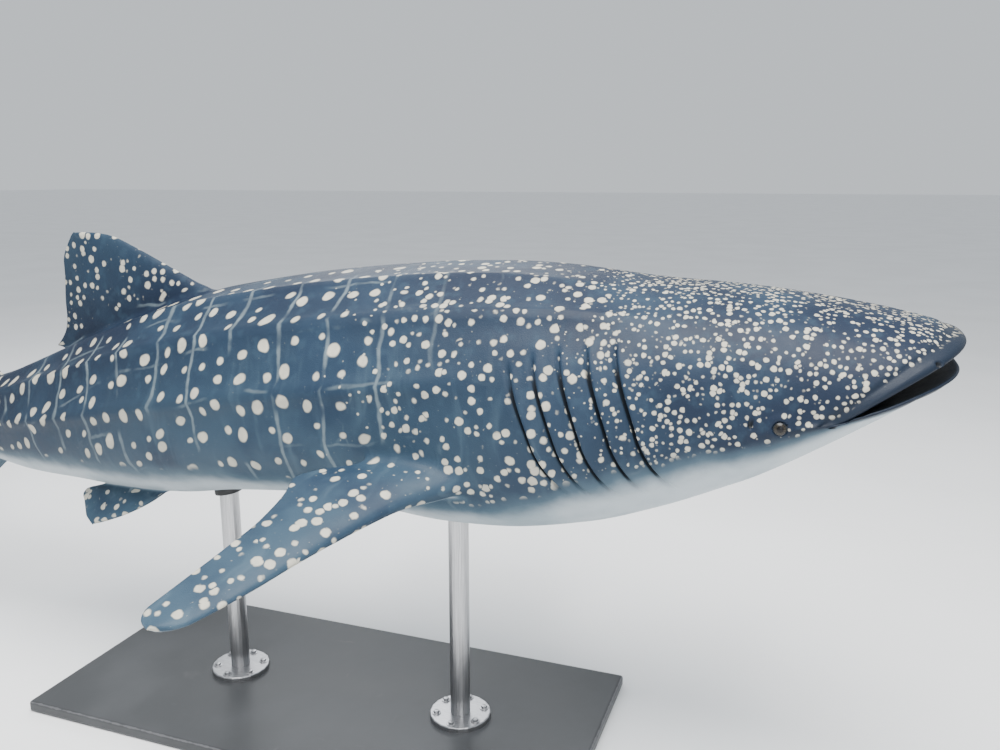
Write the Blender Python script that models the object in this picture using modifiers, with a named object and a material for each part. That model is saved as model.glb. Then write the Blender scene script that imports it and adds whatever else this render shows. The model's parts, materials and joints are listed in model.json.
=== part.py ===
"""Whale shark, life size, swimming with its nose a little up, held by a plain display stand.

The animal is worked out in a straight frame of its own, in parts of its total length:
stations run back from the tip of the snout, the second number is to its left and the third
is up. place() bends the tail, lifts the nose, sets the body over the stand and gives metres.
A ring round the body starts on the back and runs down the left side, so its angle is 0 on
the back, 90 at the widest point of the flank and 180 on the belly, and negative on the right.
"""

import math

import bmesh
import bpy
import numpy as np
from mathutils import Matrix, Vector

# Size, and the gap that touching solids keep, in metres
TOTAL_LENGTH = 6.5
GAP = 0.0003

# Stance: the tail bends to the left along an arc, and the nose is lifted
NOSE_UP = math.radians(8.0)
TAIL_BEND = math.radians(11.0)
BEND_START = 0.42
BEND_END = 0.80
BALANCE_STATION = 0.37
AXIS_HEIGHT = 1.42

# Lengthwise divisions of the body
HEAD_RING = 0.11
HEAD_END = 0.226
SHOULDER_END = 0.424
TRUNK_END = 0.63
TAIL_END = 0.835

# Outline of the body, as (station, value) pairs
BACK = (
    (0.11, 0.0428), (0.15, 0.0508), (0.19, 0.0605), (0.23, 0.0672), (0.28, 0.0717), (0.35, 0.0738),
    (0.40, 0.0725), (0.45, 0.0690), (0.50, 0.0600), (0.55, 0.0485), (0.60, 0.0365), (0.65, 0.0262),
    (0.70, 0.0212), (0.75, 0.0180), (0.80, 0.0165), (0.835, 0.0190),
)
BELLY = (
    (0.11, -0.0575), (0.15, -0.0700), (0.19, -0.0785), (0.23, -0.0815), (0.27, -0.0785), (0.32, -0.0680),
    (0.37, -0.0590), (0.42, -0.0585), (0.47, -0.0610), (0.52, -0.0585), (0.57, -0.0530), (0.62, -0.0480),
    (0.68, -0.0360), (0.74, -0.0255), (0.80, -0.0185), (0.835, -0.0040),
)
HALF_WIDTH = (
    (0.11, 0.0690), (0.15, 0.0735), (0.20, 0.0780), (0.26, 0.0800), (0.32, 0.0780), (0.38, 0.0735),
    (0.45, 0.0640), (0.52, 0.0520), (0.60, 0.0390), (0.68, 0.0265), (0.74, 0.0190), (0.79, 0.0145),
    (0.835, 0.0030),
)
WIDEST_HEIGHT = (
    (0.11, -0.0170), (0.17, -0.0190), (0.25, -0.0180), (0.35, -0.0120), (0.49, -0.0090), (0.60, -0.0080),
    (0.70, -0.0050), (0.80, -0.0015), (0.835, 0.0070),
)
UPPER_FULLNESS = ((0.11, 2.5), (0.20, 2.3), (0.35, 2.1), (0.60, 2.0), (0.835, 2.0))
LOWER_FULLNESS = ((0.11, 2.6), (0.20, 2.5), (0.35, 2.3), (0.60, 2.1), (0.835, 2.0))

# Points round a ring: the ridges and the widest point always fall on these steps
RING_POINTS = 48
HALF_RING = RING_POINTS // 2
RING_STEPS = (0, 4, 7, 10, 13, 24)
RING_ANGLES_FRONT = (0.0, 20.0, 42.0, 66.0, 90.0, 180.0)
RING_ANGLES_REAR = (0.0, 26.0, 54.0, 90.0, 112.0, 180.0)

# Height of the ridges, by their step on the ring; the lowest grows into the tail keel
RIDGES = {
    0: (
        (0.14, 0.0), (0.20, 0.0014), (0.42, 0.0014), (0.46, 0.0), (0.58, 0.0), (0.62, 0.0012),
        (0.80, 0.0),
    ),
    4: ((0.17, 0.0), (0.24, 0.0026), (0.58, 0.0024), (0.70, 0.0)),
    7: ((0.13, 0.0), (0.19, 0.0034), (0.66, 0.0028), (0.78, 0.0)),
    10: (
        (0.21, 0.0), (0.27, 0.0032), (0.60, 0.0034), (0.69, 0.0060), (0.75, 0.0120), (0.79, 0.0085),
        (0.83, 0.0),
    ),
}

# Mouth, across the front of the head
MOUTH_HALF_WIDTH = 0.0615
MOUTH_CORNER = 0.062
UPPER_LIP_FRONT = 0.0045
LOWER_LIP_FRONT = 0.0078
LIP_SQUARENESS = 2.6
LIP_HEIGHT_FRONT = -0.0048
LIP_HEIGHT_CORNER = -0.0215
LIP_FALL_POWER = 1.6
MOUTH_GAP = 0.0056
MOUTH_CENTRE = 0.055
MOUTH_LOOPS = ((0.30, 0.0068), (0.55, 0.0068), (0.78, 0.0068), (0.93, 0.0057))
MOUTH_ROOM_POWER = 0.7

# Reach of the curves that carry the lips round the snout and jaw to the first full ring
SNOUT_REACH = 0.0245
SNOUT_RISE = 0.0170
JAW_REACH = 0.0235
JAW_DROP = 0.0055
CHEEK_SWELL = 0.0090
RING_REACH_SIDE = 0.016
RING_REACH_TOP = 0.050
RING_REACH_BELOW = 0.042
HEAD_LOOPS = 13
HEAD_LOOP_SPREAD = 1.35
HEAD_RINGS = 6
DERIVATIVE_STEP = 0.002

# Parting of the lower jaw: between the lips from before the snout, then down to the throat
JAW_CUT_START = -0.02
JAW_CUT_STEPS = 8
JAW_CUT = ((0.066, -0.0245), (0.072, -0.036), (0.079, -0.080))
JAW_CUT_REACH = 0.10

# Eyes, spiracles and nostrils, in parts of the length unless said
EYE_RADIUS = 0.031
EYE_ALONG = 0.61
EYE_ANGLE = 91.5
EYE_SINK = 0.021
EYE_RIM_RADIUS = 0.036
EYE_RIM_THICKNESS = 0.011
EYE_SIDES = 14
EYE_RINGS = 8
EYE_RIM_SIDES = 5
SPIRACLE_ALONG = 0.80
SPIRACLE_ANGLE = 90.0
SPIRACLE_RADIUS = 0.014
SPIRACLE_SIDES = 8
SPIRACLE_RINGS = 6
NOSTRIL_ALONG = 0.12
NOSTRIL_ANGLE = 45.0
NOSTRIL_SIZE = (0.020, 0.011, 0.016)
NOSTRIL_SIDES = 10
NOSTRIL_RINGS = 6
BARBEL_SIZE = (0.016, 0.012, 0.013)
BARBEL_SHIFT = -0.020

# Gills: five slits a side, each under the rear edge of its own flap
GILL_STATIONS = (0.160, 0.174, 0.188, 0.201, 0.213)
GILL_TOP_ANGLES = (56.0, 57.0, 59.0, 62.0, 66.0)
GILL_BOTTOM_ANGLES = (122.0, 121.0, 119.0, 116.0, 112.0)
GILL_LEAN = 0.022
GILL_LEAN_POWER = 1.4
FLAP_LENGTH = 0.0110
FLAP_LIFT = 0.013
FLAP_FRONT_LIFT = -0.002
FLAP_END_POWER = 0.6
FLAP_SUNK = 0.030
SLIT_WIDTH = 0.0016
SLIT_TRIM = 0.0003
SLIT_CLEARANCE = 0.03
SLIT_DEPTH = 0.022
GILL_STEPS = 7

# Section of a fin: a wing's, whose half thickness is given by these factors of the root, the
# first, second, third and fourth power of the place along it, on an edge of its own thickness
CHORD_STEPS = 6
CHORD_SPREAD = 1.5
WING_FORM = (1.4845, -0.63, -1.758, 1.4215, -0.518)
EDGE_THICKNESS = 0.007
EDGE_RISE = 6.0
FULLEST_SHARE = 0.35
TIP_STEPS = 4
TIP_CHORD = 0.14

# Lengths of the body behind the head: first and last station, and number of steps
BODY_LENGTHS = {
    "torso_front": (HEAD_END, SHOULDER_END, 10),
    "torso_rear": (SHOULDER_END, TRUNK_END, 10),
    "tail_stem": (TRUNK_END, TAIL_END, 11),
}

# Fins: edges are (share of the height, distance along the root) pairs
MEDIAN_FINS = {
    "dorsal_fin_first": {
        "station": 0.440, "height_at_root": 0.0690, "slope": -12.0, "below": False, "height": 0.0740,
        "curl": 0.0,
        "leading": (
            (-0.4, -0.010), (0.0, -0.004), (0.15, 0.0080), (0.35, 0.0235), (0.60, 0.0430), (0.80, 0.0600),
            (0.92, 0.0730), (1.0, 0.0860),
        ),
        "trailing": (
            (-0.4, 0.098), (0.0, 0.104), (0.045, 0.1290), (0.085, 0.1405), (0.13, 0.1400), (0.24, 0.1290),
            (0.45, 0.1190), (0.68, 0.1125), (0.88, 0.1060), (1.0, 0.1000),
        ),
        "thickness": ((-0.4, 0.0150), (0.0, 0.0150), (0.5, 0.0090), (1.0, 0.0035)),
        "root": -0.30, "steps": 8, "rounding": 0.86, "body": "torso_rear",
    },
    "dorsal_fin_second": {
        "station": 0.655, "height_at_root": 0.0240, "slope": -6.0, "below": False, "height": 0.0330,
        "curl": 0.0,
        "leading": ((-0.4, -0.004), (0.0, 0.0), (0.4, 0.0130), (0.8, 0.0290), (1.0, 0.0390)),
        "trailing": (
            (-0.4, 0.040), (0.0, 0.044), (0.10, 0.0600), (0.20, 0.0600), (0.45, 0.0490), (0.75, 0.0455),
            (1.0, 0.0440),
        ),
        "thickness": ((-0.4, 0.0070), (0.0, 0.0070), (0.5, 0.0045), (1.0, 0.0025)),
        "root": -0.35, "steps": 6, "rounding": 0.80, "body": "tail_stem",
    },
    "anal_fin": {
        "station": 0.668, "height_at_root": -0.0370, "slope": 10.0, "below": True, "height": 0.0290,
        "curl": 0.0,
        "leading": ((-0.4, -0.004), (0.0, 0.0), (0.4, 0.0130), (0.8, 0.0280), (1.0, 0.0370)),
        "trailing": (
            (-0.4, 0.034), (0.0, 0.038), (0.10, 0.0520), (0.20, 0.0530), (0.45, 0.0440), (0.75, 0.0420),
            (1.0, 0.0410),
        ),
        "thickness": ((-0.4, 0.0065), (0.0, 0.0065), (0.5, 0.0042), (1.0, 0.0025)),
        "root": -0.35, "steps": 6, "rounding": 0.80, "body": "tail_stem",
    },
}
PAIRED_FINS = {
    "pectoral_fin": {
        "origin": (0.228, 0.068, -0.045), "pitch": 20.0, "droop": 20.0, "height": 0.1500, "curl": 0.004,
        "leading": (
            (-0.3, 0.010), (0.0, 0.012), (0.10, 0.0220), (0.235, 0.0410), (0.355, 0.0530), (0.49, 0.0650),
            (0.61, 0.0750), (0.74, 0.0850), (0.90, 0.0990), (1.0, 0.1090),
        ),
        "trailing": (
            (-0.3, 0.062), (0.0, 0.065), (0.13, 0.0790), (0.215, 0.0950), (0.29, 0.1030), (0.36, 0.1020),
            (0.49, 0.1040), (0.66, 0.1110), (0.80, 0.1175), (0.93, 0.1230), (1.0, 0.1250),
        ),
        "thickness": ((-0.3, 0.0180), (0.0, 0.0165), (0.3, 0.0110), (0.7, 0.0060), (1.0, 0.0035)),
        "root": -0.22, "steps": 11, "rounding": 0.90, "body": "torso_front",
    },
    "pelvic_fin": {
        "origin": (0.485, 0.022, -0.052), "pitch": 0.0, "droop": 45.0, "height": 0.0310, "curl": 0.0,
        "leading": (
            (-0.6, -0.012), (0.0, -0.006), (0.4, 0.0060), (0.67, 0.0200), (0.9, 0.0380), (1.0, 0.0480),
        ),
        "trailing": (
            (-0.6, 0.046), (0.0, 0.054), (0.13, 0.0730), (0.25, 0.0745), (0.45, 0.0700), (0.8, 0.0620),
            (1.0, 0.0570),
        ),
        "thickness": ((-0.6, 0.0080), (0.0, 0.0075), (0.5, 0.0050), (1.0, 0.0030)),
        "root": -0.40, "steps": 6, "rounding": 0.78, "body": "torso_rear",
    },
}

# Lobes of the tail fin: edges by share of the way to the tip
LOBE_ROUNDING = 0.90
LOBE_STEPS = 10
LOBE_THICKNESS = ((0.0, 0.0180), (0.15, 0.0150), (0.5, 0.0085), (1.0, 0.0035))
TAIL_LOBES = {
    "caudal_fin_upper": {
        "side": 1.0,
        "leading_back": ((0.0, 0.770), (0.10, 0.790), (0.3, 0.830), (0.6, 0.885), (1.0, 0.956)),
        "leading_up": ((0.0, 0.000), (0.10, 0.019), (0.3, 0.064), (0.6, 0.129), (1.0, 0.208)),
        "trailing_back": (
            (0.0, 0.868), (0.10, 0.873), (0.3, 0.892), (0.6, 0.925), (0.85, 0.954), (1.0, 0.969),
        ),
        "trailing_up": ((0.0, 0.022), (0.10, 0.040), (0.3, 0.075), (0.6, 0.126), (0.85, 0.170), (1.0, 0.196)),
    },
    "caudal_fin_lower": {
        "side": -1.0,
        "leading_back": ((0.0, 0.770), (0.12, 0.786), (0.3, 0.805), (0.6, 0.832), (1.0, 0.862)),
        "leading_up": ((0.0, 0.000), (0.12, -0.019), (0.3, -0.044), (0.6, -0.087), (1.0, -0.136)),
        "trailing_back": (
            (0.0, 0.868), (0.12, 0.864), (0.3, 0.864), (0.6, 0.868), (0.85, 0.874), (1.0, 0.877),
        ),
        "trailing_up": (
            (0.0, 0.022), (0.12, 0.002), (0.3, -0.027), (0.6, -0.076), (0.85, -0.113), (1.0, -0.134),
        ),
    },
}

# Stand
BASE_SIZE = (2.40, 1.10, 0.05)
BASE_BEVEL = 0.012
ROD_RADIUS = 0.042
FLANGE_RADIUS = 0.13
FLANGE_HEIGHT = 0.022
FLANGE_ROUNDING = 0.006
ROD_PLACES = {"front": ("torso_front", 0.285), "rear": ("torso_rear", 0.455)}
FLANGE_ROUNDING_STEPS = 4
ROD_SIDES = 20
ROD_SUNK = 0.12
SHARP_ANGLE = 40.0
MERGE_DISTANCE = 0.00002

# Colour, roughness and metallic value of each finish
FINISHES = {
    "skin_dark": ((0.070, 0.105, 0.135), 0.45, 0.0),
    "skin_fin": ((0.085, 0.120, 0.150), 0.45, 0.0),
    "skin_jaw": ((0.300, 0.340, 0.360), 0.50, 0.0),
    "eye": ((0.010, 0.012, 0.015), 0.10, 0.0),
    "stand_paint": ((0.050, 0.052, 0.055), 0.40, 0.0),
    "stand_steel": ((0.300, 0.300, 0.310), 0.35, 1.0),
}


def read_curve(pairs, where):
    """Value at a place on a smooth curve through (place, value) pairs that never overshoots."""
    x = np.array([pair[0] for pair in pairs], float)
    y = np.array([pair[1] for pair in pairs], float)
    where = np.clip(np.asarray(where, float), x[0], x[-1])
    width = np.diff(x)
    slope = np.diff(y) / width
    before, after = slope[:-1], slope[1:]
    same = before * after > 0
    inner = np.where(same, 2.0 * before * after / np.where(same, before + after, 1.0), 0.0)
    tangent = np.concatenate((slope[:1], inner, slope[-1:]))
    k = np.clip(np.searchsorted(x, where, side="right") - 1, 0, len(x) - 2)
    t = (where - x[k]) / width[k]
    return (
        y[k] * (1 + 2 * t) * (1 - t) ** 2
        + y[k + 1] * t * t * (3 - 2 * t)
        + width[k] * tangent[k] * t * (1 - t) ** 2
        + width[k] * tangent[k + 1] * t * t * (t - 1)
    )


def place(points):
    """World position, in metres, of points of the straight frame."""
    straight = np.atleast_2d(np.asarray(points, float)) * TOTAL_LENGTH
    back, left, up = straight.T
    start, end = BEND_START * TOTAL_LENGTH, BEND_END * TOTAL_LENGTH
    curvature = TAIL_BEND / (end - start)
    turn = curvature * np.clip(back - start, 0.0, end - start)
    beyond = np.maximum(back - end, 0.0)
    along = np.minimum(back, start) + np.sin(turn) / curvature + beyond * math.cos(TAIL_BEND)
    aside = (1.0 - np.cos(turn)) / curvature + beyond * math.sin(TAIL_BEND)
    ahead = BALANCE_STATION * TOTAL_LENGTH - along + left * np.sin(turn)
    side = aside + left * np.cos(turn)
    cos, sin = math.cos(NOSE_UP), math.sin(NOSE_UP)
    return np.column_stack((ahead * cos - up * sin, side, AXIS_HEIGHT + ahead * sin + up * cos))


def ring_angles(station):
    """Angles of a ring's points at a station, in degrees, down the left side and up the right."""
    share = (station - HEAD_RING) / (TAIL_END - HEAD_RING)
    front = np.array(RING_ANGLES_FRONT)
    anchors = front + (np.array(RING_ANGLES_REAR) - front) * min(max(share, 0.0), 1.0)
    left = np.interp(np.arange(HALF_RING + 1), RING_STEPS, anchors)
    return np.concatenate((left, -left[HALF_RING - 1:0:-1]))


def body_point(station, angle):
    """Points of the smooth body, without ridges, at a station and at angles in degrees."""
    angle = np.radians(np.asarray(angle, float))
    sine, cosine = np.sin(angle), np.cos(angle)
    top, bottom = read_curve(BACK, station), read_curve(BELLY, station)
    middle, width = read_curve(WIDEST_HEIGHT, station), read_curve(HALF_WIDTH, station)
    full = np.where(cosine >= 0, read_curve(UPPER_FULLNESS, station), read_curve(LOWER_FULLNESS, station))
    left = width * np.sign(sine) * np.abs(sine) ** (2.0 / full)
    reach = np.where(cosine >= 0, top - middle, middle - bottom)
    up = middle + reach * np.sign(cosine) * np.abs(cosine) ** (2.0 / full)
    return np.column_stack((np.broadcast_to(station, left.shape), left, up))


def section_normals(loop):
    """Outward directions of a ring's points, in its own plane."""
    across = np.roll(loop, -1, axis=0) - np.roll(loop, 1, axis=0)
    normal = np.column_stack((np.zeros(len(loop)), -across[:, 2], across[:, 1]))
    return normal / np.linalg.norm(normal, axis=1)[:, None]


def body_ring(station, grow=0.0):
    """Ring of the body with its ridges, grown outwards by some metres."""
    loop = body_point(station, ring_angles(station))
    normals = section_normals(loop)
    lift = np.full(RING_POINTS, grow / TOTAL_LENGTH)
    for step, heights in RIDGES.items():
        height = float(read_curve(heights, station))
        lift[step] += height
        if step:
            lift[RING_POINTS - step] += height
    return loop + normals * lift[:, None]


def lip_height(station):
    """Height of the line between the lips."""
    share = np.clip((station - UPPER_LIP_FRONT) / (MOUTH_CORNER - UPPER_LIP_FRONT), 0.0, 1.0)
    return LIP_HEIGHT_FRONT + (LIP_HEIGHT_CORNER - LIP_HEIGHT_FRONT) * share**LIP_FALL_POWER


def lip_edge(angle):
    """Edge of the upper lip at angles up to 90 degrees, and of the lower lip beyond."""
    radians = np.radians(np.asarray(angle, float))
    sine, cosine = np.sin(radians), np.cos(radians)
    upper = cosine >= 0
    front = np.where(upper, UPPER_LIP_FRONT, LOWER_LIP_FRONT)
    ahead = np.abs(cosine) ** (2.0 / LIP_SQUARENESS)
    station = front + (MOUTH_CORNER - front) * (1.0 - ahead)
    left = MOUTH_HALF_WIDTH * np.sign(sine) * np.abs(sine) ** (2.0 / LIP_SQUARENESS)
    half_gap = 0.5 * MOUTH_GAP * ahead
    return np.column_stack((station, left, lip_height(station) + np.where(upper, half_gap, -half_gap)))


def head_point(along, angle):
    """Points of the head, from the lips (along 0) to its first full ring (along 1)."""
    angle = np.asarray(angle, float)
    radians = np.radians(angle)
    sine, cosine = np.sin(radians), np.cos(radians)
    upper = cosine >= 0
    lips = lip_edge(angle)
    ring = body_point(HEAD_RING, angle)
    rearward = (body_point(HEAD_RING + DERIVATIVE_STEP, angle) - ring) / DERIVATIVE_STEP
    forward = np.where(upper, SNOUT_REACH, JAW_REACH) * np.abs(cosine)
    rise = np.where(upper, SNOUT_RISE, -JAW_DROP) * np.abs(cosine)
    lips_handle = lips + np.column_stack((-forward, CHEEK_SWELL * sine, rise))
    middle_reach = np.where(upper, RING_REACH_TOP, RING_REACH_BELOW)
    reach = RING_REACH_SIDE + (middle_reach - RING_REACH_SIDE) * np.abs(cosine)
    ring_handle = ring - rearward * reach[:, None]
    t = along
    return (
        lips * (1 - t) ** 3
        + lips_handle * 3 * t * (1 - t) ** 2
        + ring_handle * 3 * t * t * (1 - t)
        + ring * t**3
    )


def head_matrix(along, angle, sunk=0.0, shift=0.0):
    """Matrix that sets a piece on the skin of the head, with its Z outwards and its X to the rear.

    sunk puts it under the skin and shift moves it to the rear, in metres.
    """
    step = DERIVATIVE_STEP
    here = place(head_point(along, [angle]))[0]
    rear = place(head_point(along + step, [angle]))[0] - place(head_point(along - step, [angle]))[0]
    down = place(head_point(along, [angle + math.copysign(1.0, angle)]))[0] - here
    rear, down = Vector(rear).normalized(), Vector(down)
    outward = rear.cross(down) if angle < 0 else down.cross(rear)
    outward.normalize()
    matrix = Matrix((rear, outward.cross(rear), outward)).transposed().to_4x4()
    matrix.translation = Vector(here) - outward * sunk + rear * shift
    return matrix


def make_finish(name):
    """Principled material of one of the finishes, made once."""
    if name in bpy.data.materials:
        return bpy.data.materials[name]
    colour, roughness, metallic = FINISHES[name]
    material = bpy.data.materials.new(name)
    material.use_nodes = True
    shader = material.node_tree.nodes["Principled BSDF"]
    shader.inputs["Base Color"].default_value = (*colour, 1.0)
    shader.inputs["Roughness"].default_value = roughness
    shader.inputs["Metallic"].default_value = metallic
    material.diffuse_color = (*colour, 1.0)
    return material


def add_object(name, bm, collection, finish=None):
    """Object made from a bmesh, which is freed."""
    bmesh.ops.recalc_face_normals(bm, faces=bm.faces)
    mesh = bpy.data.meshes.new(name)
    bm.to_mesh(mesh)
    bm.free()
    obj = bpy.data.objects.new(name, mesh)
    collection.objects.link(obj)
    if finish:
        mesh.materials.append(make_finish(finish))
    return obj


def loft(loops, tip=None):
    """Closed bmesh through loops of world points, whose two halves are split alike.

    The first loop runs to the single point tip, where there is one, and is a flat end
    otherwise. The last loop is a flat end.
    """
    bm = bmesh.new()
    rows = [[bm.verts.new(point) for point in loop] for loop in loops]
    count = len(rows[0])
    for near, far in zip(rows, rows[1:]):
        for i in range(count):
            j = (i + 1) % count
            if i < count // 2:
                bm.faces.new((near[i], near[j], far[j]))
                bm.faces.new((near[i], far[j], far[i]))
            else:
                bm.faces.new((near[i], near[j], far[i]))
                bm.faces.new((near[j], far[j], far[i]))
    ends = [bm.faces.new(rows[-1])]
    if tip is None:
        ends.append(bm.faces.new(rows[0][::-1]))
    else:
        centre = bm.verts.new(tip)
        for i in range(count):
            bm.faces.new((rows[0][(i + 1) % count], rows[0][i], centre))
    bmesh.ops.triangulate(bm, faces=ends)
    return bm


def body_loft(length, grow=0.0):
    """One of the body's lengths, or the same a little grown, to cut what meets it."""
    start, end, steps = BODY_LENGTHS[length]
    half_gap = 0.5 * GAP / TOTAL_LENGTH
    stations = np.linspace(start + half_gap, end - half_gap, steps + 1)
    if grow:
        stations = np.concatenate(([start - half_gap], stations, [end + half_gap]))
    return loft([place(body_ring(station, grow)) for station in stations])


def apply_boolean(obj, operation, operand, solver="EXACT"):
    """Applies one Boolean with a collection of closed objects, which are then removed."""
    modifier = obj.modifiers.new("Boolean", "BOOLEAN")
    modifier.operation = operation
    modifier.solver = solver
    modifier.operand_type = "COLLECTION"
    modifier.collection = operand
    depsgraph = bpy.context.evaluated_depsgraph_get()
    depsgraph.update()
    mesh = bpy.data.meshes.new_from_object(obj.evaluated_get(depsgraph))
    obj.modifiers.clear()
    old = obj.data
    obj.data = mesh
    mesh.name = obj.name
    bpy.data.meshes.remove(old)
    for piece in list(operand.objects):
        bpy.data.objects.remove(piece, do_unlink=True)
    bpy.data.collections.remove(operand)


def closed_parts(bm):
    """Vertex groups of the separate surfaces of a bmesh, the largest first."""
    left = set(bm.verts)
    parts = []
    while left:
        seed = left.pop()
        part, queue = {seed}, [seed]
        while queue:
            for edge in queue.pop().link_edges:
                for vert in edge.verts:
                    if vert in left:
                        left.discard(vert)
                        part.add(vert)
                        queue.append(vert)
        parts.append(part)
    return sorted(parts, key=part_extent, reverse=True)


def part_extent(part):
    """Diagonal of the box round some vertices."""
    corners = np.array([vert.co for vert in part])
    return float(np.linalg.norm(corners.max(axis=0) - corners.min(axis=0)))


def clean_mesh(bm):
    """Merges the slivers that a Boolean leaves, and splits every face into triangles."""
    bmesh.ops.remove_doubles(bm, verts=bm.verts, dist=MERGE_DISTANCE)
    bmesh.ops.dissolve_degenerate(bm, edges=bm.edges, dist=MERGE_DISTANCE)
    bmesh.ops.triangulate(bm, faces=bm.faces)


def keep_largest(obj, others=()):
    """Keeps an object's largest surface; each name in others takes the next one as its own object."""
    bm = bmesh.new()
    bm.from_mesh(obj.data)
    clean_mesh(bm)
    parts = closed_parts(bm)
    made = []
    for rank, name in enumerate(others, start=1):
        piece = bm.copy()
        keep = closed_parts(piece)[rank]
        bmesh.ops.delete(piece, geom=[v for v in piece.verts if v not in keep], context="VERTS")
        made.append(add_object(name, piece, obj.users_collection[0]))
    bmesh.ops.delete(bm, geom=[v for v in bm.verts if v not in parts[0]], context="VERTS")
    bm.to_mesh(obj.data)
    bm.free()
    return made


def shade(obj, finish):
    """Smooth shading with sharp edges kept, and the object's finish."""
    obj.data.materials.clear()
    obj.data.materials.append(make_finish(finish))
    obj.data.shade_smooth()
    obj.data.set_sharp_from_angle(angle=math.radians(SHARP_ANGLE))


def new_collection(name, hidden=False):
    """Collection under the scene; a hidden one holds cutters."""
    collection = bpy.data.collections.new(name)
    bpy.context.scene.collection.children.link(collection)
    collection.hide_render = hidden
    return collection


def add_cutter(name, bm, collection):
    """Object used only to join to or cut another."""
    obj = add_object(name, bm, collection)
    obj.hide_render = True
    obj.display_type = "WIRE"
    return obj


def ball(radius, segments, rings, matrix, scale=(1.0, 1.0, 1.0)):
    """Ball, or an egg where scaled, carried to its place by a matrix."""
    bm = bmesh.new()
    bmesh.ops.create_uvsphere(bm, u_segments=segments, v_segments=rings, radius=radius)
    bmesh.ops.scale(bm, vec=scale, verts=bm.verts)
    bmesh.ops.transform(bm, matrix=matrix, verts=bm.verts)
    return bm


def torus(radius, thickness, around, across, matrix):
    """Ring with a round section, carried to its place by a matrix."""
    bm = bmesh.new()
    upright = Matrix.Translation((radius, 0.0, 0.0)) @ Matrix.Rotation(0.5 * math.pi, 4, "X")
    bmesh.ops.create_circle(bm, segments=across, radius=0.5 * thickness, matrix=upright)
    section = bm.verts[:] + bm.edges[:]
    bmesh.ops.spin(
        bm, geom=section, cent=(0, 0, 0), axis=(0, 0, 1), angle=2 * math.pi, steps=around, use_merge=True
    )
    bmesh.ops.remove_doubles(bm, verts=bm.verts, dist=MERGE_DISTANCE)
    bmesh.ops.transform(bm, matrix=matrix, verts=bm.verts)
    return bm


def gill_line(slit, share):
    """Station and angle of a gill slit, from its top (share 0) to its lower end (share 1)."""
    angle = GILL_TOP_ANGLES[slit] + (GILL_BOTTOM_ANGLES[slit] - GILL_TOP_ANGLES[slit]) * share
    return GILL_STATIONS[slit] - GILL_LEAN * share**GILL_LEAN_POWER, angle


def skin_at(station, angle, lift):
    """World point over the skin of the flank, lifted by some metres."""
    loop = body_point(station, [angle - 0.5, angle, angle + 0.5])
    across = loop[2] - loop[0]
    normal = np.array((0.0, -across[2], across[1])) / math.hypot(across[1], across[2])
    return place(loop[1] + normal * lift / TOTAL_LENGTH)[0]


def gill_solid(slit, side, ahead, behind, outer, inner):
    """Solid along a gill slit, whose four edges are given by stations and lifts over the skin.

    outer holds the lift of the front edge and the greatest lift of the rear edge, which comes
    down to the front edge's at both ends of the slit.
    """
    front_lift, rear_lift = outer
    loops = []
    for share in np.linspace(0.0, 1.0, GILL_STEPS + 1):
        station, angle = gill_line(slit, share)
        edge_lift = front_lift + (rear_lift - front_lift) * math.sin(math.pi * share) ** FLAP_END_POWER
        corners = (
            (station - ahead, front_lift),
            (station + behind, edge_lift),
            (station + behind, inner),
            (station - ahead, inner),
        )
        loops.append([skin_at(where, side * angle, lift) for where, lift in corners])
    return loft(loops)


def jaw_parting():
    """Sheet, a gap thick, between the lips, through their corners and down to the throat."""
    between = np.linspace(0.0, MOUTH_CORNER, JAW_CUT_STEPS + 1)
    stations = np.concatenate(([JAW_CUT_START], between))
    path = np.array([(station, lip_height(station)) for station in stations] + list(JAW_CUT))
    ahead = np.gradient(path, axis=0)
    across = np.column_stack((-ahead[:, 1], ahead[:, 0])) / np.linalg.norm(ahead, axis=1)[:, None]
    half = 0.5 * GAP / TOTAL_LENGTH
    outline = np.concatenate((path + across * half, (path - across * half)[::-1]))
    loops = []
    for left in (-JAW_CUT_REACH, JAW_CUT_REACH):
        aside = np.full(len(outline), left)
        loops.append(place(np.column_stack((outline[:, 0], aside, outline[:, 1]))))
    return loft(loops)


def head_loft():
    """Head and lower jaw in one, from the throat forwards over the lips and back to the gills."""
    angles = ring_angles(HEAD_RING)
    open_half = np.cos(np.radians(angles))
    lips = lip_edge(angles)
    loops = []
    for share, room in MOUTH_LOOPS:
        station = MOUTH_CENTRE + (lips[:, 0] - MOUTH_CENTRE) * share
        up = lip_height(station) + room * np.sign(open_half) * np.abs(open_half) ** MOUTH_ROOM_POWER
        loops.append(np.column_stack((station, lips[:, 1] * share, up)))
    loops.append(lips)
    for share in np.linspace(0.0, 1.0, HEAD_LOOPS + 1)[1:]:
        loops.append(head_point(share**HEAD_LOOP_SPREAD, angles))
    end = HEAD_END - 0.5 * GAP / TOTAL_LENGTH
    for station in np.linspace(HEAD_RING, end, HEAD_RINGS + 1)[1:]:
        loops.append(body_ring(station))
    throat = (MOUTH_CENTRE, 0.0, lip_height(MOUTH_CENTRE))
    return loft([place(loop) for loop in loops], tip=place(throat)[0])


def add_gills(side, word, joined, cut):
    """Flaps to join to one side of the head, and the slits to cut under their rear edges."""
    for slit in range(len(GILL_STATIONS)):
        flap = gill_solid(slit, side, FLAP_LENGTH, 0.0, (FLAP_FRONT_LIFT, FLAP_LIFT), -FLAP_SUNK)
        add_cutter(f"gill_flap_{word}_{slit}", flap, joined)
        clear = (SLIT_CLEARANCE, SLIT_CLEARANCE)
        opening = gill_solid(slit, side, SLIT_TRIM, SLIT_WIDTH, clear, -SLIT_DEPTH)
        add_cutter(f"gill_slit_{word}_{slit}", opening, cut)


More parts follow.
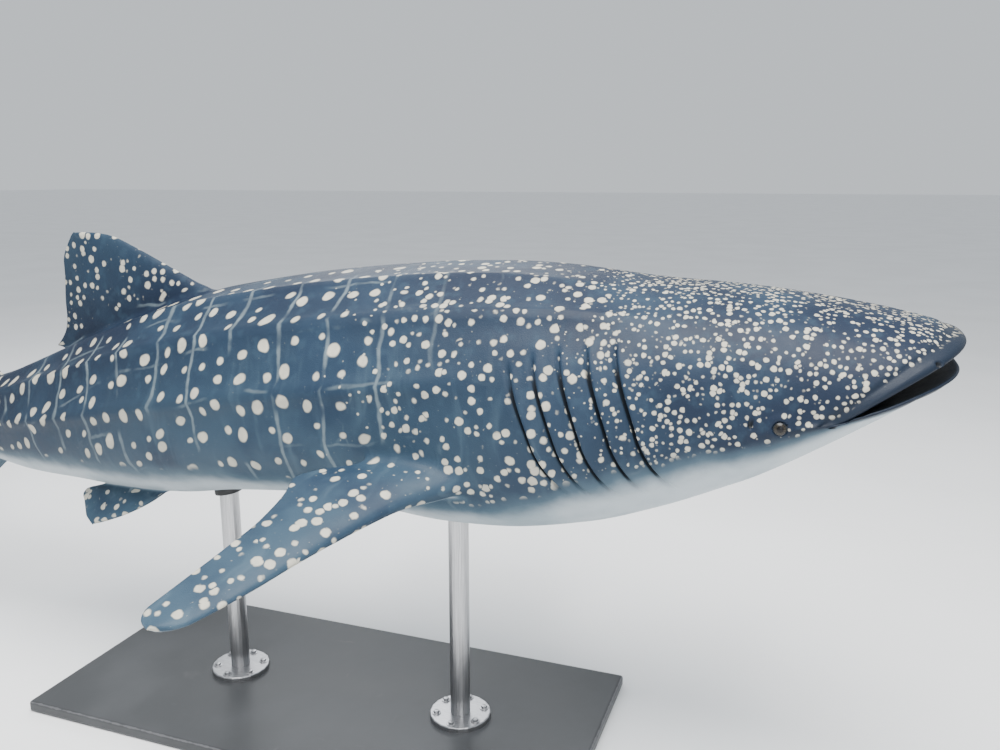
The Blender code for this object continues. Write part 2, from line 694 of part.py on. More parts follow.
def add_openings(side, word, joined, cut):
    """Eye rim and socket, spiracle, and nostril with its barbel, on one side of the head."""
    rim = head_matrix(EYE_ALONG, side * EYE_ANGLE)
    ring = torus(EYE_RIM_RADIUS, EYE_RIM_THICKNESS, EYE_SIDES, EYE_RIM_SIDES, rim)
    add_cutter(f"eye_rim_{word}", ring, joined)
    socket = head_matrix(EYE_ALONG, side * EYE_ANGLE, sunk=EYE_SINK)
    add_cutter(f"eye_socket_{word}", ball(EYE_RADIUS + GAP, EYE_SIDES, EYE_RINGS, socket), cut)
    hole = head_matrix(SPIRACLE_ALONG, side * SPIRACLE_ANGLE)
    add_cutter(f"spiracle_{word}", ball(SPIRACLE_RADIUS, SPIRACLE_SIDES, SPIRACLE_RINGS, hole), cut)
    opening = head_matrix(NOSTRIL_ALONG, side * NOSTRIL_ANGLE)
    add_cutter(f"nostril_{word}", ball(1.0, NOSTRIL_SIDES, NOSTRIL_RINGS, opening, NOSTRIL_SIZE), cut)
    beside = head_matrix(NOSTRIL_ALONG, side * NOSTRIL_ANGLE, shift=BARBEL_SHIFT)
    add_cutter(f"barbel_{word}", ball(1.0, NOSTRIL_SIDES, NOSTRIL_RINGS, beside, BARBEL_SIZE), joined)


def build_head(parts):
    """Head with its lips, mouth, gill flaps, eye rims, nostrils and spiracles, and the lower jaw."""
    head = add_object("head", head_loft(), parts)
    joined = new_collection("head_joined", hidden=True)
    cut = new_collection("head_cut", hidden=True)
    for side, word in ((1.0, "left"), (-1.0, "right")):
        add_gills(side, word, joined, cut)
        add_openings(side, word, joined, cut)
        centre = head_matrix(EYE_ALONG, side * EYE_ANGLE, sunk=EYE_SINK)
        shade(add_object(f"eye_{word}", ball(EYE_RADIUS, EYE_SIDES, EYE_RINGS, centre), parts), "eye")
    add_cutter("jaw_parting", jaw_parting(), cut)
    apply_boolean(head, "UNION", joined, solver="MANIFOLD")
    keep_largest(head)
    apply_boolean(head, "DIFFERENCE", cut, solver="MANIFOLD")
    jaw = keep_largest(head, others=("lower_jaw",))[0]
    shade(head, "skin_dark")
    shade(jaw, "skin_jaw")


def section_loop(front, rear, across, full):
    """Loop round a fin's section, from its front edge over one side to its rear edge and back."""
    chord = np.linspace(0.0, 1.0, CHORD_STEPS + 1) ** CHORD_SPREAD
    powers = (np.sqrt(chord), chord, chord**2, chord**3, chord**4)
    form = sum(factor * power for factor, power in zip(WING_FORM, powers))
    edge = 0.5 * EDGE_THICKNESS / TOTAL_LENGTH
    width = float(np.linalg.norm(rear - front))
    walls = np.maximum(min(full, FULLEST_SHARE * width) * form, edge * np.minimum(1.0, EDGE_RISE * chord))
    places = front + (rear - front) * chord[:, None]
    over = places + walls[:, None] * across
    under = places - walls[:, None] * across
    return np.concatenate((over, under[:0:-1]))


def tip_share(span, rounding):
    """Share of the chord that a fin keeps at a span, where its tip rounds off beyond a share."""
    near_tip = max(0.0, (span - rounding) / (1.0 - rounding))
    return max(TIP_CHORD, math.sqrt(max(0.0, 1.0 - near_tip**2)))


def fin_loops(frame, fin):
    """Loops of a fin from its root to its tip.

    frame holds the root's front point and the directions along the root, out to the tip and
    across the fin, in the straight frame.
    """
    origin, along, outward, across = (np.array(v, float) for v in frame)
    loops = []
    for span in span_steps(fin["root"], fin["steps"], fin["rounding"]):
        bend = fin["curl"] * max(span, 0.0) ** 2
        base = origin + outward * span * fin["height"] - across * bend
        leading, trailing = float(read_curve(fin["leading"], span)), float(read_curve(fin["trailing"], span))
        half = 0.5 * (trailing - leading) * tip_share(span, fin["rounding"])
        middle = base + along * 0.5 * (leading + trailing)
        full = float(read_curve(fin["thickness"], span))
        loops.append(section_loop(middle - along * half, middle + along * half, across, full))
    return loops


def span_steps(root, count, rounding):
    """Shares of the height for a fin's loops: the sunk root, then closer together at the tip."""
    body = np.linspace(0.0, rounding, count)
    turn = 0.5 * math.pi * np.linspace(0.0, 1.0, TIP_STEPS + 1)[1:]
    return np.concatenate(([root], body, rounding + (1.0 - rounding) * np.sin(turn)))


def cut_to_body(obj, length, finish):
    """Cuts an object to the surface of one of the body's lengths, a gap away."""
    cut = new_collection(obj.name + "_cut", hidden=True)
    add_cutter(obj.name + "_body", body_loft(length, grow=GAP), cut)
    apply_boolean(obj, "DIFFERENCE", cut)
    keep_largest(obj)
    shade(obj, finish)


def mirrored(loops):
    """The same loops on the other side of the body, still running the same way round."""
    return [loop * np.array((1.0, -1.0, 1.0)) for loop in loops]


def median_frame(station, height, slope):
    """Root frame of a fin on the mid-line, leaning back by a slope in degrees."""
    lean = math.radians(slope)
    along = np.array((math.cos(lean), 0.0, math.sin(lean)))
    outward = np.array((-math.sin(lean), 0.0, math.cos(lean)))
    return (station, 0.0, height), along, outward, (0.0, 1.0, 0.0)


def paired_frame(origin, pitch, droop):
    """Root frame of a left fin: pitch lifts its rear edge and droop lowers its tip, in degrees."""
    rise, fall = math.radians(pitch), math.radians(droop)
    along = np.array((math.cos(rise), 0.0, math.sin(rise)))
    outward = np.array((0.0, math.cos(fall), -math.sin(fall)))
    across = np.cross(along, outward)
    return origin, along, outward, across / np.linalg.norm(across)


def build_body(parts):
    """The lengths of the body behind the head, each a gap away from the one before."""
    for name in BODY_LENGTHS:
        shade(add_object(name, body_loft(name), parts), "skin_dark")


def build_median_fins(parts):
    """First and second dorsal fins and the anal fin."""
    for name, fin in MEDIAN_FINS.items():
        origin, along, outward, across = median_frame(fin["station"], fin["height_at_root"], fin["slope"])
        frame = origin, along, outward * (-1.0 if fin["below"] else 1.0), across
        fin_object = add_object(name, loft([place(loop) for loop in fin_loops(frame, fin)]), parts)
        cut_to_body(fin_object, fin["body"], "skin_fin")


def build_paired_fins(parts):
    """Pectoral and pelvic fins, the right ones mirrored from the left."""
    for name, fin in PAIRED_FINS.items():
        frame = paired_frame(fin["origin"], fin["pitch"], fin["droop"])
        loops = fin_loops(frame, fin)
        for word, side_loops in (("left", loops), ("right", mirrored(loops))):
            fin_object = add_object(f"{name}_{word}", loft([place(loop) for loop in side_loops]), parts)
            cut_to_body(fin_object, fin["body"], "skin_fin")


def lobe_loops(lobe):
    """Loops of a lobe of the tail fin, from the line where the lobes meet out to its tip."""
    half_gap = 0.5 * GAP / TOTAL_LENGTH
    loops = []
    for span in span_steps(0.0, LOBE_STEPS, LOBE_ROUNDING)[1:]:
        edges = []
        for edge in ("leading", "trailing"):
            back, up = (float(read_curve(lobe[f"{edge}_{axis}"], span)) for axis in ("back", "up"))
            edges.append(np.array((back, 0.0, up)))
        front, rear = edges
        middle, half = 0.5 * (front + rear), 0.5 * (rear - front) * tip_share(span, LOBE_ROUNDING)
        full = float(read_curve(LOBE_THICKNESS, span))
        loops.append(section_loop(middle - half, middle + half, np.array((0.0, 1.0, 0.0)), full))
    loops[0] = loops[0] + np.array((0.0, 0.0, half_gap * lobe["side"]))
    return loops


def build_tail_fin(parts):
    """Upper and lower lobes, a gap apart along the line where they meet."""
    for name, lobe in TAIL_LOBES.items():
        fin_object = add_object(name, loft([place(loop) for loop in lobe_loops(lobe)]), parts)
        cut_to_body(fin_object, "tail_stem", "skin_fin")


def turned(profile, centre):
    """Closed bmesh turned from a profile of (radius, height) pairs about an upright line."""
    bm = bmesh.new()
    verts = [bm.verts.new((reach, 0.0, height)) for reach, height in profile]
    edges = [bm.edges.new(pair) for pair in zip(verts, verts[1:])]
    bmesh.ops.spin(
        bm,
        geom=verts + edges,
        cent=(0, 0, 0),
        axis=(0, 0, 1),
        angle=2 * math.pi,
        steps=ROD_SIDES,
        use_merge=True,
    )
    bmesh.ops.remove_doubles(bm, verts=bm.verts, dist=MERGE_DISTANCE)
    bmesh.ops.translate(bm, vec=(centre.x, centre.y, 0.0), verts=bm.verts)
    return bm


def build_stand(parts):
    """Flat base, two flanges on it, and a rod on each, cut to the belly that it carries."""
    bpy.ops.mesh.primitive_cube_add(size=1.0, location=(0.0, 0.0, 0.5 * BASE_SIZE[2]))
    base = bpy.context.object
    base.name = base.data.name = "stand_base"
    for collection in base.users_collection:
        collection.objects.unlink(base)
    parts.objects.link(base)
    base.data.transform(Matrix.Diagonal((*BASE_SIZE, 1.0)))
    bevel = base.modifiers.new("Edges", "BEVEL")
    bevel.width = BASE_BEVEL
    bevel.segments = 3
    shade(base, "stand_paint")
    flange_foot = BASE_SIZE[2] + GAP
    flange_top = flange_foot + FLANGE_HEIGHT
    rod_foot = flange_top + GAP
    for word, (length, station) in ROD_PLACES.items():
        belly = Vector(place([(station, 0.0, read_curve(BELLY, station))])[0])
        profile = [(0.0, flange_foot), (FLANGE_RADIUS, flange_foot)]
        for turn in np.linspace(0.0, 0.5 * math.pi, FLANGE_ROUNDING_STEPS + 1):
            reach = FLANGE_RADIUS - FLANGE_ROUNDING * (1.0 - math.cos(turn))
            profile.append((reach, flange_top - FLANGE_ROUNDING * (1.0 - math.sin(turn))))
        flange = add_object(f"stand_flange_{word}", turned(profile + [(0.0, flange_top)], belly), parts)
        shade(flange, "stand_steel")
        rod_top = belly.z + ROD_SUNK
        profile = [(0.0, rod_foot), (ROD_RADIUS, rod_foot), (ROD_RADIUS, rod_top), (0.0, rod_top)]
        rod = add_object(f"stand_rod_{word}", turned(profile, belly), parts)
        cut_to_body(rod, length, "stand_steel")


def main():
    """Builds the model in an empty scene."""
    for obj in list(bpy.data.objects):
        bpy.data.objects.remove(obj, do_unlink=True)
    parts = new_collection("whale_shark")
    build_head(parts)
    build_body(parts)
    build_median_fins(parts)
    build_paired_fins(parts)
    build_tail_fin(parts)
    build_stand(parts)


main()
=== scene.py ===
"""Looks of a whale shark, life size, and of its display stand, over the frame of its solids.

The skin is worked out in the straight frame of the solids, in parts of the animal's length:
stations run back from the snout, the second number is to the left and the third is up. A place
on the skin is a run and an angle. The run is -2 in the throat, -1 at the lips, 0 at the first
full ring of the head, and from there on the station behind that ring. The angle is 0 on the
back, 90 at the widest point of the left flank and 180 on the belly, negative on the right.
"""

import json
import logging
import math
from dataclasses import dataclass, field
from enum import Enum
from typing import Any

import bmesh
import bpy
import numpy as np
from mathutils import Matrix, Vector
from mathutils.bvhtree import BVHTree

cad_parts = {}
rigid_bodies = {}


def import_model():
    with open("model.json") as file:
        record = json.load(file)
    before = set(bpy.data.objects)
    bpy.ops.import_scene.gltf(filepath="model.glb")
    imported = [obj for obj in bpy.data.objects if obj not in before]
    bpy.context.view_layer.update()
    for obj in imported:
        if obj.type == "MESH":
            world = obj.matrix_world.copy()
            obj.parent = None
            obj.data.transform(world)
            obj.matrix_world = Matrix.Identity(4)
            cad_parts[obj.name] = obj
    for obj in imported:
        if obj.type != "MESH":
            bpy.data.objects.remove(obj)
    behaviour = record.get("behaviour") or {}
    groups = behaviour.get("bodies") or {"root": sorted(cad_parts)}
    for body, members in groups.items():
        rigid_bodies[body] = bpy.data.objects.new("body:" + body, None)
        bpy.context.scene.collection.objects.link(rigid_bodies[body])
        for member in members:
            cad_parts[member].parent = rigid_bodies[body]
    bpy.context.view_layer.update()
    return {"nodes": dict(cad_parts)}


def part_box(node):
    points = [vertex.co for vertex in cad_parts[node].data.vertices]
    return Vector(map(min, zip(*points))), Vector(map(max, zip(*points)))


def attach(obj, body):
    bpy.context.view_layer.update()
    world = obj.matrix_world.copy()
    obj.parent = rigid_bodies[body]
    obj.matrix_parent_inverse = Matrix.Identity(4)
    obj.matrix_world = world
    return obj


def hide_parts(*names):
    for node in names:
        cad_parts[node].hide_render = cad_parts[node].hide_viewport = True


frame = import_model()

log = logging.getLogger("whale_shark")
Array = np.ndarray
Range = tuple[float, float]
Triple = tuple[float, float, float]
Pairs = tuple[Range, ...]
Colour = tuple[float, float, float, float]
BOTH_SIDES = (("left", 1.0), ("right", -1.0))
TINY = 1e-12


def read_curve(pairs: Pairs | Array, where: Any) -> Array:
    """Read a smooth curve that never overshoots its points.

    Args:
        pairs: Places and values, in order of place.
        where: Places to read at; those beyond the ends read the end values.

    Returns:
        The values, in the shape of where.
    """
    x, y = np.array(pairs, float).T
    where = np.clip(np.asarray(where, float), x[0], x[-1])
    width = np.diff(x)
    slope = np.diff(y) / width
    before, after = slope[:-1], slope[1:]
    same = before * after > 0
    inner = np.where(same, 2.0 * before * after / np.where(same, before + after, 1.0), 0.0)
    tangent = np.concatenate((slope[:1], inner, slope[-1:]))
    k = np.clip(np.searchsorted(x, where, side="right") - 1, 0, len(x) - 2)
    t = (where - x[k]) / width[k]
    return (
        y[k] * (1 + 2 * t) * (1 - t) ** 2
        + y[k + 1] * t * t * (3 - 2 * t)
        + width[k] * tangent[k] * t * (1 - t) ** 2
        + width[k] * tangent[k + 1] * t * t * (t - 1)
    )


def ease(low: float, high: float, where: Any) -> Array:
    """Rise smoothly from 0 at low to 1 at high; high may be the lower number."""
    t = np.clip((np.asarray(where, float) - low) / (high - low), 0.0, 1.0)
    return t * t * (3 - 2 * t)


def half_circle(degrees: Any) -> Any:
    """Bring angles to between -180 and 180 degrees."""
    return (degrees + 180.0) % 360.0 - 180.0


def unit(rows: Array) -> Array:
    """Scale each row to a length of 1."""
    return rows / np.maximum(np.linalg.norm(rows, axis=1), TINY)[:, None]


def values(verts: Any, layer: Any) -> Array:
    """Read what a layer says at vertices."""
    return np.array([vert[layer] for vert in verts])


@dataclass(frozen=True)
class Form:
    """Form of the body and head in the straight frame, in parts of the total length."""

    length: float = 6.5
    nose_up: float = math.radians(8.0)
    tail_bend: float = math.radians(11.0)
    bend_start: float = 0.42
    bend_end: float = 0.80
    balance_station: float = 0.37
    axis_height: float = 1.42
    head_ring: float = 0.11
    tail_end: float = 0.868
    back: Pairs = (
        (0.11, 0.0428), (0.15, 0.0508), (0.19, 0.0605), (0.23, 0.0672), (0.28, 0.0717),
        (0.35, 0.0738), (0.40, 0.0725), (0.45, 0.0690), (0.50, 0.0600), (0.55, 0.0485),
        (0.60, 0.0365), (0.65, 0.0262), (0.70, 0.0212), (0.75, 0.0180), (0.80, 0.0165),
        (0.835, 0.0190), (0.868, 0.0226),
    )
    belly: Pairs = (
        (0.11, -0.0575), (0.15, -0.0700), (0.19, -0.0785), (0.23, -0.0815), (0.27, -0.0785),
        (0.32, -0.0680), (0.37, -0.0590), (0.42, -0.0585), (0.47, -0.0610), (0.52, -0.0585),
        (0.57, -0.0530), (0.62, -0.0480), (0.68, -0.0360), (0.74, -0.0255), (0.80, -0.0185),
        (0.835, -0.0040), (0.868, 0.0214),
    )
    half_width: Pairs = (
        (0.11, 0.0690), (0.15, 0.0735), (0.20, 0.0780), (0.26, 0.0800), (0.32, 0.0780),
        (0.38, 0.0735), (0.45, 0.0640), (0.52, 0.0520), (0.60, 0.0390), (0.68, 0.0265),
        (0.74, 0.0190), (0.79, 0.0145), (0.835, 0.0062), (0.868, 0.0008),
    )
    widest_height: Pairs = (
        (0.11, -0.0170), (0.17, -0.0190), (0.25, -0.0180), (0.35, -0.0120), (0.49, -0.0090),
        (0.60, -0.0080), (0.70, -0.0050), (0.80, -0.0015), (0.835, 0.0070), (0.868, 0.0220),
    )
    upper_fullness: Pairs = ((0.11, 2.5), (0.20, 2.3), (0.35, 2.1), (0.60, 2.0), (0.868, 2.0))
    lower_fullness: Pairs = ((0.11, 2.6), (0.20, 2.5), (0.35, 2.3), (0.60, 2.1), (0.868, 2.0))
    # Angles of the back, the three ridges, the mouth line and the belly, at both ends
    ring_angles_front: tuple[float, ...] = (0.0, 20.0, 42.0, 66.0, 90.0, 180.0)
    ring_angles_rear: tuple[float, ...] = (0.0, 26.0, 54.0, 90.0, 112.0, 180.0)
    ring_angles_end: float = 0.835
    # Heights of the back's ridge, of the three ridges of the flank and of the keel behind them
    ridges: tuple[Pairs, ...] = (
        (
            (0.14, 0.0), (0.20, 0.0014), (0.42, 0.0014), (0.46, 0.0), (0.58, 0.0), (0.62, 0.0012),
            (0.80, 0.0),
        ),
        ((0.17, 0.0), (0.24, 0.0026), (0.58, 0.0024), (0.70, 0.0)),
        ((0.13, 0.0), (0.19, 0.0034), (0.66, 0.0028), (0.78, 0.0)),
        (
            (0.21, 0.0), (0.27, 0.0032), (0.60, 0.0034), (0.69, 0.0060), (0.75, 0.0120),
            (0.79, 0.0085), (0.83, 0.0),
        ),
    )
    ridge_width: float = 0.034
    ridge_power: float = 1.5
    mouth_half_width: float = 0.0615
    mouth_corner: float = 0.062
    lip_fronts: Range = (0.0045, 0.0078)
    lip_squareness: float = 2.5
    lip_heights: Range = (-0.0012, -0.0215)
    lip_fall_power: float = 1.35
    mouth_gap: float = 0.0122
    mouth_centre: float = 0.055
    mouth_room: Pairs = (
        (0.0, 0.0), (0.12, 0.0055), (0.30, 0.0068), (0.78, 0.0068), (0.93, 0.0057), (1.0, 0.0040),
    )
    mouth_room_power: float = 0.7
    mouth_rim: float = 0.90
    snout_reach: float = 0.0210
    snout_rise: float = 0.0045
    jaw_reach: float = 0.0200
    jaw_rise: float = 0.0080
    cheek_swell: float = 0.0040
    ring_reach_side: float = 0.016
    ring_reach_top: float = 0.040
    ring_reach_below: float = 0.030
    corner_blunting: float = 0.22
    step: float = 0.002
    half_degree: float = 0.5

    def place(self, points: Array) -> Array:
        """Bend, lift and scale straight-frame points to their place over the stand.

        Args:
            points: Rows of station, left and up.

        Returns:
            Rows of world coordinates in metres.
        """
        back, left, up = (np.atleast_2d(points) * self.length).T
        start, end = self.bend_start * self.length, self.bend_end * self.length
        curvature = self.tail_bend / (end - start)
        turn = curvature * np.clip(back - start, 0.0, end - start)
        beyond = np.maximum(back - end, 0.0)
        straight = np.minimum(back, start) + beyond * math.cos(self.tail_bend)
        along = straight + np.sin(turn) / curvature
        aside = (1.0 - np.cos(turn)) / curvature + beyond * math.sin(self.tail_bend)
        ahead = self.balance_station * self.length - along + left * np.sin(turn)
        side = aside + left * np.cos(turn)
        cos, sin = math.cos(self.nose_up), math.sin(self.nose_up)
        height = self.axis_height + ahead * sin + up * cos
        return np.column_stack((ahead * cos - up * sin, side, height))

    def ring_anchors(self, station: Any) -> Array:
        """Give the angles of the back, the three ridges, the mouth line and the belly.

        Args:
            station: The station, or a column of stations.

        Returns:
            The angles in degrees, in a row for each station.
        """
        front, rear = np.array(self.ring_angles_front), np.array(self.ring_angles_rear)
        share = (station - self.head_ring) / (self.ring_angles_end - self.head_ring)
        return front + (rear - front) * np.clip(share, 0.0, 1.0)

    def section(self, station: Array, upper: Array) -> tuple[Array, Array, Array, Array]:
        """Size the body's section at stations.

        Args:
            station: The stations.
            upper: Whether the half above the widest height is meant, or else the half below.

        Returns:
            Widest height, reach of the half above or below it, half the width, and fullness.
        """
        middle = read_curve(self.widest_height, station)
        edge = np.where(upper, read_curve(self.back, station), read_curve(self.belly, station))
        above, below = self.upper_fullness, self.lower_fullness
        full = np.where(upper, read_curve(above, station), read_curve(below, station))
        return middle, edge - middle, read_curve(self.half_width, station), full

    def body(self, station: Any, angle: Any) -> Array:
        """Give points of the smooth body behind the head ring.

        Args:
            station: Stations of the points.
            angle: Angles of the points, in degrees.

        Returns:
            Rows of straight-frame points.
        """
        station, angle = np.broadcast_arrays(np.asarray(station, float), np.radians(angle))
        sine, cosine = np.sin(angle), np.cos(angle)
        middle, reach, width, full = self.section(station, cosine >= 0)
        left = width * np.sign(sine) * np.abs(sine) ** (2.0 / full)
        return np.column_stack((station, left, middle + reach * np.abs(cosine) ** (2.0 / full)))

    def degree(self, station: Any, angle: Any) -> Array:
        """Length of the skin over a degree at stations and angles, in parts of the length."""
        pair = [self.body(station, angle + turn) for turn in (self.half_degree, -self.half_degree)]
        return np.linalg.norm(pair[0] - pair[1], axis=1)

    def depth_at(self, points: Array) -> tuple[Array, Array]:
        """Tell how far out straight-frame points lie, and at what angle.

        Args:
            points: Rows of straight-frame points.

        Returns:
            Shares of the way from the body's middle to its skin, and the angles in degrees.
        """
        station, left, up = points.T
        upper = up >= read_curve(self.widest_height, station)
        middle, reach, width, full = self.section(station, upper)
        across, along = np.abs(left) / width, np.abs((up - middle) / reach)
        share = np.maximum((across**full + along**full) ** (1.0 / full), TINY)
        sine, cosine = (across / share) ** (0.5 * full), (along / share) ** (0.5 * full)
        angle = np.degrees(np.arctan2(sine, np.where(upper, cosine, -cosine)))
        return share, np.where(left < 0, -angle, angle)

    def lip_height(self, station: Array) -> Array:
        """Give the height of the line between the lips.

        Args:
            station: Stations along the line.

        Returns:
            The heights.
        """
        front, corner = self.lip_heights
        share = (station - self.lip_fronts[0]) / (self.mouth_corner - self.lip_fronts[0])
        return front + (corner - front) * np.clip(share, 0.0, 1.0) ** self.lip_fall_power

    def lips(self, angle: Array) -> Array:
        """Give points on the edges of the lips.

        Args:
            angle: Angles, up to 90 degrees for the upper lip and beyond for the lower.

        Returns:
            Rows of straight-frame points.
        """
        sine, cosine = np.sin(np.radians(angle)), np.cos(np.radians(angle))
        upper = cosine >= 0
        front = np.where(upper, *self.lip_fronts)
        ahead = np.abs(cosine) ** (2.0 / self.lip_squareness)
        station = front + (self.mouth_corner - front) * (1.0 - ahead)
        spread = np.abs(sine) ** (2.0 / self.lip_squareness)
        left = self.mouth_half_width * np.sign(sine) * spread
        half_gap = np.where(upper, 0.5, -0.5) * self.mouth_gap * ahead
        return np.column_stack((station, left, self.lip_height(station) + half_gap))

    def mouth(self, share: Array, angle: Array) -> Array:
        """Give points inside the mouth.

        Args:
            share: Shares of the way from the throat to the lips.
            angle: Angles of the points, in degrees.

        Returns:
            Rows of straight-frame points.
        """
        lips = self.lips(angle)
        cosine = np.cos(np.radians(angle))
        station = self.mouth_centre + (lips[:, 0] - self.mouth_centre) * share
        room = read_curve(self.mouth_room, share) * np.abs(cosine) ** self.mouth_room_power
        edge = np.abs(lips[:, 2] - self.lip_height(lips[:, 0]))
        half = room + (edge - room) * ease(self.mouth_rim, 1.0, share)
        height = self.lip_height(station) + np.sign(cosine) * half
        return np.column_stack((station, lips[:, 1] * share, height))

    def head(self, along: Array, angle: Array) -> Array:
        """Give points on the outside of the head.

        Args:
            along: Places from the lips (0) to the head's first full ring (1).
            angle: Angles of the points, in degrees.

        Returns:
            Rows of straight-frame points.
        """
        sine, cosine = np.sin(np.radians(angle)), np.cos(np.radians(angle))
        upper = cosine >= 0
        lips = self.lips(angle)
        ring = self.body(self.head_ring, angle)
        rearward = (self.body(self.head_ring + self.step, angle) - ring) / self.step
        blunt = self.corner_blunting
        ahead = (np.hypot(cosine, blunt) - blunt) / (math.hypot(1.0, blunt) - blunt)
        forward = np.where(upper, self.snout_reach, self.jaw_reach) * ahead
        rise = np.where(upper, self.snout_rise, self.jaw_rise) * ahead
        lips_handle = lips + np.column_stack((-forward, self.cheek_swell * sine, rise))
        middle_reach = np.where(upper, self.ring_reach_top, self.ring_reach_below)
        reach = self.ring_reach_side + (middle_reach - self.ring_reach_side) * ahead
        ring_handle = ring - rearward * reach[:, None]
        t = np.asarray(along, float)[:, None]
        return (
            lips * (1 - t) ** 3
            + lips_handle * 3 * t * (1 - t) ** 2
            + ring_handle * 3 * t * t * (1 - t)
            + ring * t**3
        )

    def skin(self, run: Array, angle: Array) -> Array:
        """Give points of the smooth skin.

        Args:
            run: Runs of the points, from -2 in the throat to the tail.
            angle: Angles of the points, in degrees.

        Returns:
            Rows of straight-frame points.
        """
        made = np.zeros((len(run), 3))
        behind, inside = run >= 0, run < -1
        outside = ~behind & ~inside
        made[behind] = self.body(self.head_ring + run[behind], angle[behind])
        made[outside] = self.head(run[outside] + 1.0, angle[outside])
        made[inside] = self.mouth(run[inside] + 2.0, angle[inside])
        return made

    def outward(self, run: Array, angle: Array) -> Array:
        """Give the outward directions of the smooth skin.

        Args:
            run: Runs of the points. Near the head ring only the skin behind it is read.
            angle: Angles of the points, in degrees.

        Returns:
            Rows of straight-frame directions.
        """
        shift, turn = 0.5 * self.step, self.half_degree
        low = np.where(np.abs(run) > shift, run - shift, run)
        rear = self.skin(run + shift, angle) - self.skin(low, angle)
        return unit(np.cross(rear, self.skin(run, angle + turn) - self.skin(run, angle - turn)))

    def ridge_lift(self, run: Array, angle: Array) -> Array:
        """Give the height of the ridges along the flanks and of the tail keels.

        Args:
            run: Runs of the points.
            angle: Angles of the points, in degrees.

        Returns:
            Heights over the smooth skin, in parts of the length.
        """
        station = self.head_ring + np.maximum(run, 0.0)
        degree, anchors = self.degree(station, angle), self.ring_anchors(station[:, None])
        lift = np.zeros(len(station))
        for ridge, heights in enumerate(self.ridges):
            away = np.abs(np.abs(angle) - anchors[:, ridge]) * degree * self.length
            fall = np.exp(-((away / self.ridge_width) ** self.ridge_power))
            lift += read_curve(heights, station) * fall
        return np.where(run > 0, lift, 0.0)


@dataclass(frozen=True)
class Gills:
    """Five gill slits a side, each under the rear edge of its own flap."""

    stations: tuple[float, ...] = (0.160, 0.174, 0.188, 0.201, 0.213)
    top_angles: tuple[float, ...] = (56.0, 57.0, 59.0, 62.0, 66.0)
    bottom_angles: tuple[float, ...] = (122.0, 121.0, 119.0, 116.0, 112.0)
    lean: float = 0.022
    lean_power: float = 1.4
    lean_end: float = 1.15
    lean_fade: Range = (128.0, 178.0)
    end_power: float = 0.6
    gather_power: float = 0.6
    # Shares of a slit's opening over which its inside turns to painted shade
    shade_from: Range = (0.40, 0.85)
    ahead: float = 0.062
    behind: float = 0.026
    # Each row across a slit: metres behind the slit's line, lift in metres, and depth inside it,
    # which sets the painted shade inside the slit
    fold: tuple[Triple, ...] = (
        (-0.062, 0.0, 0.0), (-0.050, 0.0015, 0.0), (-0.036, 0.0050, 0.0), (-0.023, 0.0090, 0.0),
        (-0.012, 0.0120, 0.0), (-0.004, 0.0132, 0.0), (0.0, 0.0110, 0.1), (0.0005, 0.0070, 0.4),
        (-0.0035, 0.0010, 0.9), (-0.007, -0.0100, 1.0), (-0.003, -0.0200, 1.0),
        (0.005, -0.0170, 1.0), (0.0105, -0.0070, 0.8), (0.0165, -0.0015, 0.2),
    )

    def share(self, slit: int, angles: Array) -> Array:
        """Share of the way down a slit at angles all round the body."""
        top, bottom = self.top_angles[slit], self.bottom_angles[slit]
        return (np.abs(angles) - top) / (bottom - top)

    def line(self, slit: int, angles: Array) -> Array:
        """Stations of a slit's line at angles all round the body."""
        lean = self.lean * np.clip(self.share(slit, angles), 0.0, self.lean_end) ** self.lean_power
        return self.stations[slit] - lean * (1.0 - ease(*self.lean_fade, np.abs(angles)))

    def opening(self, slit: int, angles: Array) -> Array:
        """How far a slit is open at angles, from 0 beyond its ends to 1."""
        share = np.clip(self.share(slit, angles), 0.0, 1.0)
        return np.sin(math.pi * share) ** self.end_power


class Underside(Enum):
    """How much of a fin is as pale as the belly."""

    DARK = "dark"
    PALE_BELOW = "pale below"
    HALF_PALE = "half pale"


